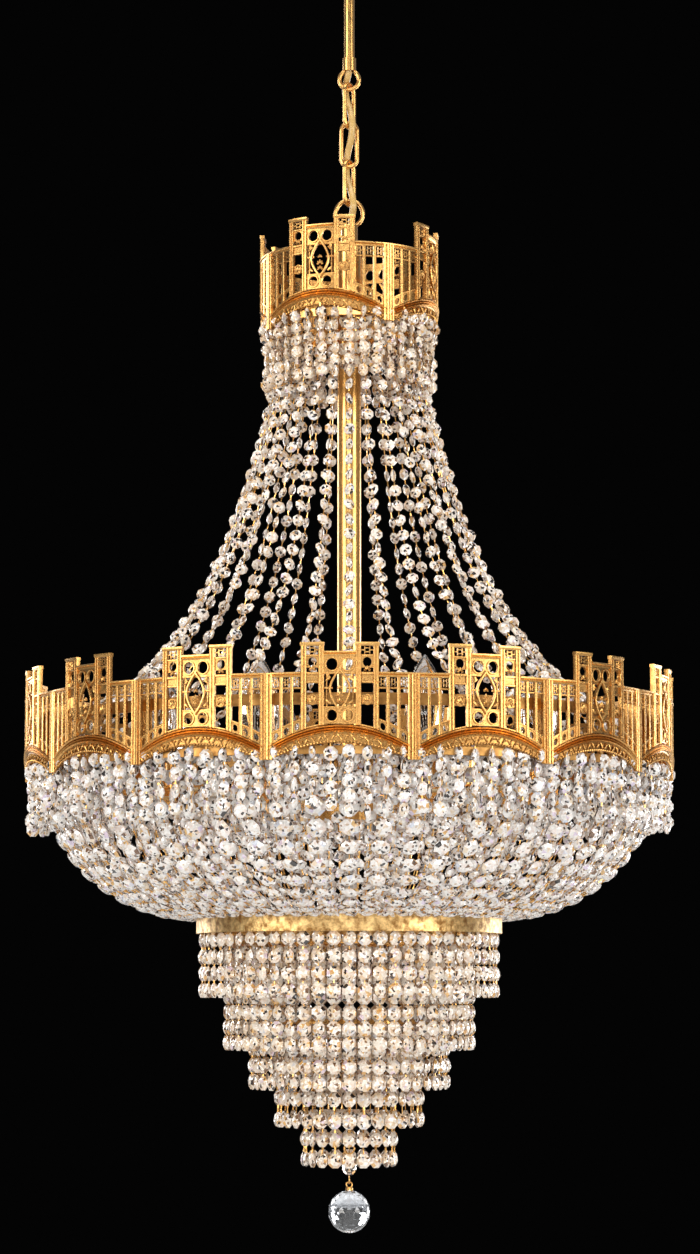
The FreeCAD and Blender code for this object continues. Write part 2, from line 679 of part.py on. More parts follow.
def cut_ball(radius, sides, centre_z, top_share):
    """A crystal ball of flat facets, in staggered rows, cut flat at the top."""
    levels = [-0.94, -0.72, -0.40, 0.0, 0.40, 0.72, top_share]
    points = []
    for k, level in enumerate(levels):
        r = radius * math.sqrt(1 - level ** 2)
        points.append([V(r * math.cos(2 * math.pi * (i + 0.5 * (k % 2)) / sides),
                         r * math.sin(2 * math.pi * (i + 0.5 * (k % 2)) / sides), centre_z + radius * level)
                       for i in range(sides)])
    faces = [Part.Face(Part.makePolygon(points[-1] + points[-1][:1]))]
    tip = V(0, 0, centre_z - radius)
    for i in range(sides):
        faces.append(Part.Face(Part.makePolygon([tip, points[0][i], points[0][(i + 1) % sides], tip])))
    for k in range(len(levels) - 1):
        low, high = points[k], points[k + 1]
        for i in range(sides):
            j = (i + 1) % sides
            if k % 2 == 0:
                faces.append(Part.Face(Part.makePolygon([low[i], low[j], high[i], low[i]])))
                faces.append(Part.Face(Part.makePolygon([high[i], low[j], high[j], high[i]])))
            else:
                faces.append(Part.Face(Part.makePolygon([low[i], low[j], high[j], low[i]])))
                faces.append(Part.Face(Part.makePolygon([low[i], high[j], high[i], low[i]])))
    return Part.makeSolid(Part.makeShell(faces))


eye_low = eye_z - eye_radius
ring_1 = eye_low + eye_wire / 2 + drop_wire / 2 + drop_clear - drop_ring_radius
bead_flat = drop_bead_radius * math.cos(math.radians(22.5))
ring_to_bead = drop_ring_radius + drop_wire / 2 + drop_clear / 3 + bead_flat
bead_mid = ring_1 - ring_to_bead
ring_2 = bead_mid - ring_to_bead
pivot_2 = ring_2 - drop_ring_radius
loop_2 = pivot_2 + drop_wire + drop_clear - drop_loop_radius
cap_top = loop_2 - drop_loop_radius
ball_top = cap_top - cap_height
ball_share = math.sqrt(1 - (cap_radius / ball_radius) ** 2)
ball_mid = ball_top - ball_radius * ball_share
out("drop_rings", Part.makeCompound([ring_yz(drop_ring_radius, drop_wire / 2, ring_1),
                                     ring_yz(drop_ring_radius, drop_wire / 2, ring_2)]))
out("drop_bead", cut_bead(drop_bead_radius, drop_bead_depth, bead_mid))
out("drop_cap", Part.makeCylinder(cap_radius, cap_height, V(0, 0, ball_top)).fuse(
    ring_xz(drop_loop_radius, drop_wire / 2, loop_2)))
out("drop_ball", cut_ball(ball_radius, ball_sides, ball_mid, ball_share))

# ---- power cord: through the stem, woven through the links, into the rod
lean = V(math.cos(math.radians(cord_lean)), math.sin(math.radians(cord_lean)), 0)
joints = [loop_z - stem_loop_radius + step / 2] + [t - link_length + step / 2 for t in link_tops]
stops = [V(0, 0, -bracket_thickness), V(0, 0, collar_low - 1.0)]
side = 1
for z in joints:
    stops.append(lean * (cord_out * side) + UP * z)
    side = -side
stops += [V(0, 0, neck_top + 1.0), V(0, 0, hub_base + terminal_height + 12.0)]


def cord_run(stops, radius):
    """A round cord along straight runs joined by tangent arcs."""
    edges, start, length = [], stops[0], 0.0
    for a, b, c in zip(stops[:-2], stops[1:-1], stops[2:]):
        u, w = (b - a), (c - b)
        turn = u.getAngle(w)
        short = min(u.Length, w.Length)
        u.normalize()
        w.normalize()
        if turn < math.radians(0.5):
            continue
        cut = 0.45 * short
        arc = cut / math.tan(turn / 2)
        p, q = b - u * cut, b + w * cut
        mid = b + (w - u).normalize() * (arc / math.cos(turn / 2) - arc)
        edges.append(Part.LineSegment(start, p).toShape())
        edges.append(Part.Arc(p, mid, q).toShape())
        length += (p - start).Length + arc * turn
        print("cord arc radius %.1f" % arc)
        start = q
    edges.append(Part.LineSegment(start, stops[-1]).toShape())
    length += (stops[-1] - start).Length
    first = (stops[1] - stops[0]).normalize()
    section = Part.Wire([Part.makeCircle(radius, stops[0], first)])
    body = Part.Wire(edges).makePipeShell([section], True, False)
    print("cord volume %.0f, section times length %.0f" % (body.Volume, math.pi * radius ** 2 * length))
    return body


out("power_cord", cord_run(stops, cord_radius))

print("levels: stem loop %.1f, links %s" % (loop_z, ["%.1f" % t for t in link_tops]))
print("top loop %.1f, its neck down to %.1f" % (top_loop_z, neck_low))
print("panel bend %.1f and %.1f" % (bend, top_bend))
print("hoops %.2f %.2f %.2f" % (hoop_radius, inner_hoop_radius, top_hoop_radius))
print("pivots: chain %s, drop %.4f %.4f" % (["%.4f" % (z - step / 2) for z in joints], eye_low, pivot_2))
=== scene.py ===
"""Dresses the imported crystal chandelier: gilt crowns, bead strands, lamps, cord and drop."""

import json
import math
import random

import bmesh
import bpy
import numpy as np
from mathutils import Matrix, Vector


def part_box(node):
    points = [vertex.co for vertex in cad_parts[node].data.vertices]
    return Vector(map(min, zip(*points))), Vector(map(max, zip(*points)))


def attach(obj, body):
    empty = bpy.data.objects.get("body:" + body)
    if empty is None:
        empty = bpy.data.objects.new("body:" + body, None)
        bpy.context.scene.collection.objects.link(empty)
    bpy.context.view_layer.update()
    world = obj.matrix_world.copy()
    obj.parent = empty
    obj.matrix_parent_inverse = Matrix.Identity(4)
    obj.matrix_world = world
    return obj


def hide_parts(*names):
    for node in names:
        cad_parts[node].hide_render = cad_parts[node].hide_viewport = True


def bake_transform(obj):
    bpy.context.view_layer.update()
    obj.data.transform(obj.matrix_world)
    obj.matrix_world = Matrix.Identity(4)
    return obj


bl_info = {
    "name": "Crystal chandelier",
    "version": (1, 0, 0),
    "blender": (4, 5, 0),
    "location": "View3D > Sidebar > Chandelier",
    "description": "Builds the looks of a crystal chandelier around its packed parts",
    "category": "Add Mesh",
}

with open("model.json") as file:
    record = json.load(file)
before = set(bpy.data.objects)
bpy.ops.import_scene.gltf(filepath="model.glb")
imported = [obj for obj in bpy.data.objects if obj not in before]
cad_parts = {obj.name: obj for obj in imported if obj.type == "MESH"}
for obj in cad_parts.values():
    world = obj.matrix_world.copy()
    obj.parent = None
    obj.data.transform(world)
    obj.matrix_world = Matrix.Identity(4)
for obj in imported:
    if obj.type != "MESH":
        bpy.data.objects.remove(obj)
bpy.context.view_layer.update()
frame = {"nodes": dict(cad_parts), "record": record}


def low(node):
    """The corner of a node's box with the smallest coordinates."""
    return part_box(node)[0]


def high(node):
    """The corner of a node's box with the largest coordinates."""
    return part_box(node)[1]


# ------------------------------------------------------------------ settings
class ChandelierSizes(bpy.types.PropertyGroup):
    bead_radius: bpy.props.FloatProperty(
        name="Bead radius", description="Half the width of an octagon bead",
        default=0.007, unit="LENGTH")
    bead_depth: bpy.props.FloatProperty(
        name="Bead depth", description="Thickness of an octagon bead at its middle",
        default=0.0062, unit="LENGTH")
    band_rise: bpy.props.FloatProperty(
        name="Band rise", description="Height of the foliage band's lower edge at mid panel",
        default=0.0138, unit="LENGTH")
    ridge_foot: bpy.props.FloatProperty(
        name="Ridge foot", description="Underside of the arch's ridges at the corner posts",
        default=0.0053, unit="LENGTH")
    ridge_crest: bpy.props.FloatProperty(
        name="Ridge crest", description="Underside of the arch's ridges at mid panel",
        default=0.0224, unit="LENGTH")
    floor_level: bpy.props.FloatProperty(
        name="Floor level", description="Height of the floor, from the ceiling",
        default=-2.3, unit="LENGTH")
    camera_distance: bpy.props.FloatProperty(
        name="Camera distance", description="Distance in front of the axis",
        default=2.8192, unit="LENGTH")
    camera_side: bpy.props.FloatProperty(
        name="Camera side", description="Distance to the right of the axis",
        default=0.0007, unit="LENGTH")
    camera_level: bpy.props.FloatProperty(
        name="Camera level", description="Height of the camera, from the ceiling",
        default=-1.0147, unit="LENGTH")
    camera_pitch: bpy.props.FloatProperty(
        name="Camera pitch", description="Upward pitch of the camera",
        default=0.1209, subtype="ANGLE")
    camera_lens: bpy.props.FloatProperty(
        name="Camera lens", description="Focal length for a sensor 36 mm high",
        default=86.63, unit="CAMERA")


class ChandelierColours(bpy.types.PropertyGroup):
    gilt: bpy.props.FloatVectorProperty(
        name="Gilt", description="Polished gold plate",
        default=(0.88, 0.50, 0.162), subtype="COLOR")
    # a darker gold for random patches of tone, and for the painted shade in the cast gilt's
    # recesses
    gilt_dark_and_shade: bpy.props.FloatVectorProperty(
        name="Deep gilt", description="Gold plate in recesses",
        default=(0.28, 0.135, 0.038), subtype="COLOR")
    steel: bpy.props.FloatVectorProperty(
        name="Zinc steel", description="Zinc plated fittings",
        default=(0.55, 0.53, 0.5), subtype="COLOR")
    floor: bpy.props.FloatVectorProperty(
        name="Floor", description="Plain pale floor",
        default=(0.78, 0.78, 0.77), subtype="COLOR")


def sizes():
    return bpy.context.scene.chandelier_sizes


def colours():
    return bpy.context.scene.chandelier_colours


# ------------------------------------------------------------------ node groups and materials
def group_socket(group, name, kind, way, default=None):
    """Adds an input or an output to a node group."""
    s = group.interface.new_socket(name=name, in_out=way, socket_type=kind)
    if default is not None:
        s.default_value = default


def wear_group():
    """Soft variation of polish over the surface: a mask and a matching roughness."""
    g = bpy.data.node_groups.get("Polish variation")
    if g:
        return g
    g = bpy.data.node_groups.new("Polish variation", "ShaderNodeTree")
    group_socket(g, "Vector", "NodeSocketVector", "INPUT")
    group_socket(g, "Scale", "NodeSocketFloat", "INPUT", 60.0)
    group_socket(g, "Low", "NodeSocketFloat", "INPUT", 0.1)
    group_socket(g, "High", "NodeSocketFloat", "INPUT", 0.3)
    group_socket(g, "Mask", "NodeSocketFloat", "OUTPUT")
    group_socket(g, "Roughness", "NodeSocketFloat", "OUTPUT")
    n, l = g.nodes, g.links
    gi, go = n.new("NodeGroupInput"), n.new("NodeGroupOutput")
    noise = n.new("ShaderNodeTexNoise")
    noise.inputs["Detail"].default_value = 4.0
    noise.inputs["Roughness"].default_value = 0.6
    ramp = n.new("ShaderNodeMapRange")
    ramp.inputs["From Min"].default_value = 0.35
    ramp.inputs["From Max"].default_value = 0.65
    span = n.new("ShaderNodeMapRange")
    l.new(gi.outputs["Vector"], noise.inputs["Vector"])
    l.new(gi.outputs["Scale"], noise.inputs["Scale"])
    l.new(noise.outputs["Fac"], ramp.inputs["Value"])
    l.new(ramp.outputs["Result"], span.inputs["Value"])
    l.new(gi.outputs["Low"], span.inputs["To Min"])
    l.new(gi.outputs["High"], span.inputs["To Max"])
    l.new(ramp.outputs["Result"], go.inputs["Mask"])
    l.new(span.outputs["Result"], go.inputs["Roughness"])
    return g


def material(name):
    """A material and its shader, or no shader where the material was made before."""
    m = bpy.data.materials.get(name)
    if m:
        return m, None
    m = bpy.data.materials.new(name)
    m.use_nodes = True
    return m, m.node_tree.nodes["Principled BSDF"]


def add_wear(m, shader, scale, rough):
    """Varies the polish between two roughnesses; gives the node and the object coordinates."""
    n, l = m.node_tree.nodes, m.node_tree.links
    where = n.new("ShaderNodeTexCoord")
    wear = n.new("ShaderNodeGroup")
    wear.node_tree = wear_group()
    wear.inputs["Scale"].default_value = scale
    wear.inputs["Low"].default_value = rough[0]
    wear.inputs["High"].default_value = rough[1]
    l.new(where.outputs["Object"], wear.inputs["Vector"])
    l.new(wear.outputs["Roughness"], shader.inputs["Roughness"])
    return wear, where.outputs["Object"]


def metal(name, colour, deep, metallic=1.0, scale=60.0, rough=(0.12, 0.3), bump=0.0,
          bump_scale=900.0):
    """A surface whose colour and polish vary softly; bump adds fine grain."""
    m, shader = material(name)
    if shader is None:
        return m
    n, l = m.node_tree.nodes, m.node_tree.links
    wear, place = add_wear(m, shader, scale, rough)
    mix = n.new("ShaderNodeMix")
    mix.data_type = "RGBA"
    mix.inputs["A"].default_value = (*colour, 1)
    mix.inputs["B"].default_value = (*deep, 1)
    l.new(wear.outputs["Mask"], mix.inputs["Factor"])
    l.new(mix.outputs["Result"], shader.inputs["Base Color"])
    shader.inputs["Metallic"].default_value = metallic
    if bump:
        grain = n.new("ShaderNodeTexNoise")
        grain.inputs["Scale"].default_value = bump_scale
        grain.inputs["Detail"].default_value = 3.0
        b = n.new("ShaderNodeBump")
        b.inputs["Strength"].default_value = bump
        b.inputs["Distance"].default_value = 0.0005
        l.new(place, grain.inputs["Vector"])
        l.new(grain.outputs["Fac"], b.inputs["Height"])
        l.new(b.outputs["Normal"], shader.inputs["Normal"])
    return m


def blend_of(a, b, t):
    """A colour between a and b."""
    return tuple(x * (1 - t) + y * t for x, y in zip(a, b))


def gilt():
    c = colours()
    return metal("Polished gilt", c.gilt, blend_of(c.gilt, c.gilt_dark_and_shade, 0.35), rough=(0.15, 0.31))


def cast_gilt():
    """Cast gilt with polished ridges and recesses darkened to brown by painted shade, from the
    attribute 'relief'.
    """
    c = colours()
    fresh = bpy.data.materials.get("Cast gilt") is None
    m = metal("Cast gilt", c.gilt, blend_of(c.gilt, c.gilt_dark_and_shade, 0.35), scale=220.0,
              rough=(0.20, 0.38), bump=0.3, bump_scale=1400.0)
    if fresh:
        n, l = m.node_tree.nodes, m.node_tree.links
        shader = n["Principled BSDF"]
        relief = n.new("ShaderNodeAttribute")
        relief.attribute_name = "relief"
        mix = n.new("ShaderNodeMix")
        mix.data_type = "RGBA"
        # painted shade: where relief is low, in the recesses, the gold turns dark brown
        mix.inputs["A"].default_value = (*blend_of(c.gilt, c.gilt_dark_and_shade, 0.8), 1)
        l.new(relief.outputs["Fac"], mix.inputs["Factor"])
        l.new(shader.inputs["Base Color"].links[0].from_socket, mix.inputs["B"])
        l.new(mix.outputs["Result"], shader.inputs["Base Color"])
    return m


def steel():
    bright = colours().steel
    return metal("Zinc steel", bright, blend_of(bright, (0.3, 0.29, 0.27), 0.5), rough=(0.3, 0.5))


PAINTED_SPARKLE_RAMP = [               # start of each band of the cells' random value, and its painted light: dark and brown painted reflections, warm and white painted glints
    (0.0, (0.05, 0.04, 0.035)), (0.065, (0.30, 0.19, 0.12)), (0.10, (0.80, 0.64, 0.50)),
    (0.17, (0.95, 0.87, 0.83)), (0.36, (1.0, 0.99, 0.975)),
]


def facet_group():
    """Small cut facets: a painted glint or painted dark reflection for each cell, and a normal
    that leans its own way in each.
    """
    g = bpy.data.node_groups.get("Cut facets")
    if g:
        return g
    g = bpy.data.node_groups.new("Cut facets", "ShaderNodeTree")
    group_socket(g, "Vector", "NodeSocketVector", "INPUT")
    group_socket(g, "Scale", "NodeSocketFloat", "INPUT", 430.0)
    group_socket(g, "Lean", "NodeSocketFloat", "INPUT", 0.7)
    group_socket(g, "Color", "NodeSocketColor", "OUTPUT")
    group_socket(g, "Normal", "NodeSocketVector", "OUTPUT")
    n, l = g.nodes, g.links
    gi, go = n.new("NodeGroupInput"), n.new("NodeGroupOutput")
    cells = n.new("ShaderNodeTexVoronoi")
    parts = n.new("ShaderNodeSeparateColor")
    ramp = n.new("ShaderNodeValToRGB")
    ramp.color_ramp.interpolation = "CONSTANT"
    while len(ramp.color_ramp.elements) < len(PAINTED_SPARKLE_RAMP):
        ramp.color_ramp.elements.new(0.5)
    for stop, (place, tint) in zip(ramp.color_ramp.elements, PAINTED_SPARKLE_RAMP):
        stop.position = place
        stop.color = (*tint, 1)
    centred = n.new("ShaderNodeVectorMath")
    centred.operation = "SUBTRACT"
    centred.inputs[1].default_value = (0.5, 0.5, 0.5)
    leaned = n.new("ShaderNodeVectorMath")
    leaned.operation = "SCALE"
    surface = n.new("ShaderNodeNewGeometry")
    summed = n.new("ShaderNodeVectorMath")
    summed.operation = "ADD"
    unit = n.new("ShaderNodeVectorMath")
    unit.operation = "NORMALIZE"
    l.new(gi.outputs["Vector"], cells.inputs["Vector"])
    l.new(gi.outputs["Scale"], cells.inputs["Scale"])
    l.new(cells.outputs["Color"], parts.inputs["Color"])
    l.new(parts.outputs["Red"], ramp.inputs["Fac"])
    l.new(ramp.outputs["Color"], go.inputs["Color"])
    l.new(cells.outputs["Color"], centred.inputs[0])
    l.new(centred.outputs["Vector"], leaned.inputs[0])
    l.new(gi.outputs["Lean"], leaned.inputs["Scale"])
    l.new(surface.outputs["Normal"], summed.inputs[0])
    l.new(leaned.outputs["Vector"], summed.inputs[1])
    l.new(summed.outputs["Vector"], unit.inputs[0])
    l.new(unit.outputs["Vector"], go.inputs["Normal"])
    return g


def crystal(name="Cut crystal", clear=0.14, rough=0.03, lean=0.55, scale=480.0, fine=1.0, ior=2.0):
    """Cut crystal: the face attribute 'fire' paints glints, reflections and dispersion fire into
    each facet, finer cells split it further.
    """
    m, shader = material(name)
    if shader is None:
        return m
    n, l = m.node_tree.nodes, m.node_tree.links
    where = n.new("ShaderNodeTexCoord")
    fire = n.new("ShaderNodeAttribute")
    fire.attribute_name = "fire"
    cells = n.new("ShaderNodeGroup")
    cells.node_tree = facet_group()
    cells.inputs["Scale"].default_value = scale
    cells.inputs["Lean"].default_value = lean
    mix = n.new("ShaderNodeMix")
    mix.data_type = "RGBA"
    mix.blend_type = "MULTIPLY"
    mix.inputs["Factor"].default_value = fine
    l.new(where.outputs["Object"], cells.inputs["Vector"])
    l.new(fire.outputs["Color"], mix.inputs["A"])
    l.new(cells.outputs["Color"], mix.inputs["B"])
    l.new(mix.outputs["Result"], shader.inputs["Base Color"])
    l.new(cells.outputs["Normal"], shader.inputs["Normal"])
    shader.inputs["Roughness"].default_value = rough
    shader.inputs["IOR"].default_value = ior
    shader.inputs["Transmission Weight"].default_value = clear
    return m


def clear_glass():
    m, shader = material("Bulb glass")
    if shader is None:
        return m
    add_wear(m, shader, 40.0, (0.01, 0.04))
    shader.inputs["Base Color"].default_value = (0.97, 0.97, 0.96, 1)
    shader.inputs["Transmission Weight"].default_value = 1.0
    shader.inputs["IOR"].default_value = 1.5
    return m


def plain(name, colour, rough=0.5, scale=80.0):
    """A non-metal with a slight mottled variation."""
    return metal(name, colour, tuple(c * 0.85 for c in colour), metallic=0.0, scale=scale,
                 rough=(rough * 0.8, rough * 1.2))


def see_through_from_below(m):
    """Lets a view from under the floor show the object."""
    n, l = m.node_tree.nodes, m.node_tree.links
    shader = next(x for x in n if x.type == "BSDF_PRINCIPLED")
    out = next(x for x in n if x.type == "OUTPUT_MATERIAL")
    surface = n.new("ShaderNodeNewGeometry")
    clear = n.new("ShaderNodeBsdfTransparent")
    mix = n.new("ShaderNodeMixShader")
    l.new(surface.outputs["Backfacing"], mix.inputs["Fac"])
    l.new(shader.outputs["BSDF"], mix.inputs[1])
    l.new(clear.outputs["BSDF"], mix.inputs[2])
    l.new(mix.outputs["Shader"], out.inputs["Surface"])


# ------------------------------------------------------------------ mesh helpers


def turned(degrees, axis, size=4):
    return Matrix.Rotation(math.radians(degrees), size, axis)


def to_mesh(bm, name, normals=False):
    if normals:
        bmesh.ops.recalc_face_normals(bm, faces=bm.faces)
    mesh = bpy.data.meshes.new(name)
    bm.to_mesh(mesh)
    bm.free()
    return mesh


def new_object(mesh, name, look, smooth=None):
    """Puts a mesh into the scene; an edge stays sharp from the angle smooth, in degrees."""
    ob = bpy.data.objects.new(name, mesh)
    bpy.context.scene.collection.objects.link(ob)
    mesh.materials.append(look)
    if smooth is not None:
        mesh.shade_smooth()
        mesh.set_sharp_from_angle(angle=math.radians(smooth))
    return ob


def piece(mesh, name, body, look, replaces=(), smooth=None):
    """A piece that rides on a body, in place of the nodes that replaces names."""
    ob = new_object(mesh, name, look, smooth)
    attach(ob, body)
    if replaces:
        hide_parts(*replaces)


def add_mesh(bm, mesh, matrix):
    """Adds a copy of a mesh, moved by the matrix; gives the new vertices."""
    start = len(bm.verts)
    bm.from_mesh(mesh)
    bm.verts.ensure_lookup_table()
    new = bm.verts[start:]
    bmesh.ops.transform(bm, matrix=matrix, verts=new)
    return new


def new_verts(made):
    """The vertices that an extrusion made."""
    return [g for g in made["geom"] if isinstance(g, bmesh.types.BMVert)]


def new_face(made):
    """The first face that an extrusion made."""
    return next(g for g in made["geom"] if isinstance(g, bmesh.types.BMFace))


def chamfer_edges(bm, edges, offset):
    bmesh.ops.bevel(bm, geom=edges, offset=offset, offset_type="OFFSET", segments=1, profile=0.5,
                    affect="EDGES", material=-1)


def box(bm, x0, x1, y0, y1, z0, z1):
    middle = ((x0 + x1) / 2, (y0 + y1) / 2, (z0 + z1) / 2)
    made = bmesh.ops.create_cube(bm, size=1.0)
    bmesh.ops.transform(bm, verts=made["verts"], matrix=Matrix.Translation(middle)
                        @ Matrix.Diagonal((x1 - x0, y1 - y0, z1 - z0, 1)))


def cone(bm, sides, foot, tip, length, place, lying=False):
    """A slender cone with the radii foot and tip, upright or lying along X."""
    verts = bmesh.ops.create_cone(bm, cap_ends=True, segments=sides, radius1=foot, radius2=tip,
                                  depth=length)["verts"]
    if lying:
        bmesh.ops.rotate(bm, cent=(0, 0, 0), matrix=turned(90, "Y", 3), verts=verts)
    bmesh.ops.translate(bm, vec=place, verts=verts)


def lathe(profile, name, steps=20):
    """Turns a profile of (radius, z) about Z."""
    bm = bmesh.new()
    verts = [bm.verts.new((r, 0, z)) for r, z in profile]
    edges = [bm.edges.new(p) for p in zip(verts[:-1], verts[1:])]
    bmesh.ops.spin(bm, geom=verts + edges, cent=(0, 0, 0), axis=(0, 0, 1), angle=math.tau,
                   steps=steps, use_merge=True, use_duplicate=False)
    bmesh.ops.remove_doubles(bm, verts=bm.verts, dist=1e-6)
    return to_mesh(bm, name, normals=True)


def tube(points, radius, sides, name):
    """A round tube; its sections lie level, one at each of the points."""
    bm = bmesh.new()
    ring = bmesh.ops.create_circle(bm, cap_ends=True, segments=sides, radius=radius)["verts"]
    face = list(bm.faces)[0]
    bmesh.ops.translate(bm, vec=points[0], verts=ring)
    for a, b in zip(points[:-1], points[1:]):
        made = bmesh.ops.extrude_face_region(bm, geom=[face])
        bmesh.ops.translate(bm, vec=b - a, verts=new_verts(made))
        face = new_face(made)
    sections = [f for f in bm.faces if len(f.verts) == sides]
    sections.sort(key=lambda f: f.calc_center_median().z)
    bmesh.ops.delete(bm, geom=sections[1:-1], context="FACES_ONLY")
    return to_mesh(bm, name, normals=True)


# ------------------------------------------------------------------ beads
def octagon_bead():
    """A 14 mm octagon: narrow girdle, a bevel and a low star on each side, facing -Y."""
    s = sizes()
    girdle = s.bead_depth * 0.16
    bevel = s.bead_depth * 0.30
    star = s.bead_depth * 0.12
    bm = bmesh.new()
    bmesh.ops.create_circle(bm, cap_ends=True, segments=8, radius=s.bead_radius)
    bmesh.ops.rotate(bm, cent=(0, 0, 0), matrix=turned(22.5, "Z", 3), verts=bm.verts)
    made = bmesh.ops.extrude_face_region(bm, geom=list(bm.faces))
    bmesh.ops.translate(bm, vec=(0, 0, girdle), verts=new_verts(made))
    bmesh.ops.translate(bm, vec=(0, 0, -girdle / 2), verts=bm.verts)
    bmesh.ops.recalc_face_normals(bm, faces=bm.faces)
    caps = [f for f in bm.faces if len(f.verts) == 8]
    bmesh.ops.inset_region(bm, faces=caps, thickness=s.bead_radius * 0.34, depth=bevel,
                           use_even_offset=True)
    caps = [f for f in bm.faces if len(f.verts) == 8]
    bmesh.ops.poke(bm, faces=caps, offset=star)
    bmesh.ops.rotate(bm, cent=(0, 0, 0), matrix=turned(90, "X", 3), verts=bm.verts)
    return to_mesh(bm, "bead", normals=True)


PIN_HALVES = (0.0009, 0.0003, 0.0035)    # half the width, thickness and length of a pin
WAIST = (0.35, 1.4, 1)                   # a pin's middle, in shares of its ends


def pin_link():
    """The bow-tie pin between two beads: a flat bar with a waist, along Z."""
    bm = bmesh.new()
    x, y, z = PIN_HALVES
    box(bm, -x, x, -y, y, -z, z)
    edges = [e for e in bm.edges if abs(e.verts[0].co.z - e.verts[1].co.z) > z]
    bmesh.ops.subdivide_edges(bm, edges=edges, cuts=1)
    waist = [v for v in bm.verts if abs(v.co.z) < 1e-6]
    bmesh.ops.scale(bm, vec=WAIST, verts=waist)
    return to_mesh(bm, "pin")


PAINTED_FIRE = {                     # painted light of a facet (glints, reflections of the gilt and the dark room, dispersion fire), and how often it comes on girdle, bevel and star
    "white": ((1.0, 0.99, 0.975), (0.34, 0.62, 0.72)),
    "rose": ((0.98, 0.90, 0.86), (0.14, 0.16, 0.14)),
    "champagne": ((0.90, 0.77, 0.60), (0.12, 0.08, 0.06)),
    "gold": ((0.82, 0.52, 0.20), (0.05, 0.03, 0.02)),
    "brown": ((0.22, 0.12, 0.06), (0.13, 0.02, 0.01)),
    "dark": ((0.025, 0.02, 0.018), (0.18, 0.03, 0.01)),
    "blue": ((0.78, 0.84, 0.98), (0.02, 0.03, 0.02)),
    "violet": ((0.84, 0.74, 0.95), (0.02, 0.03, 0.02)),
}


def facet_kinds(mesh):
    """0 for girdle, 1 for bevel and 2 for star facets of the plain bead, which faces -Y."""
    lean = np.array([abs(f.normal.y) for f in mesh.polygons])
    return np.where(lean < 0.3, 0, np.where(lean < 0.9, 1, 2))


def paint_fire(mesh, kinds, seed, warm=0.2, open_star=0.0):
    """Paints light into each facet's colour; warm adds painted champagne, gold and brown
    reflections of the gilt, open_star painted dark star facets.
    """
    rng = np.random.default_rng(seed)
    count = len(mesh.polygons)
    kinds = np.tile(kinds, count // len(kinds) + 1)[:count]
    names = list(PAINTED_FIRE)
    tints = np.array([PAINTED_FIRE[n][0] for n in names])
    golden = ("champagne", "gold", "brown")
    lift = np.array([1.0 + 3.0 * warm if n in golden else 1.0 for n in names])
    pick = np.zeros(count, int)
    for kind in range(3):
        share = np.array([PAINTED_FIRE[n][1][kind] for n in names]) * lift
        if kind == 2:
            share[names.index("dark")] += open_star
        here = kinds == kind
        pick[here] = rng.choice(len(names), size=int(here.sum()), p=share / share.sum())
    # painted sparkle: each facet a little brighter or darker at random
    shade = rng.uniform(0.84, 1.02, size=(count, 1))
    rgba = np.ones((count, 4), np.float32)
    # a painted warm glow from the gilt over every facet, as strong as warm
    cast = np.array([1.0, 1.0 - 0.13 * warm, 1.0 - 0.30 * warm])
    rgba[:, :3] = np.clip(tints[pick] * shade * cast, 0, 1)
    layer = mesh.attributes.new("fire", "FLOAT_COLOR", "FACE")
    layer.data.foreach_set("color", rgba.ravel())


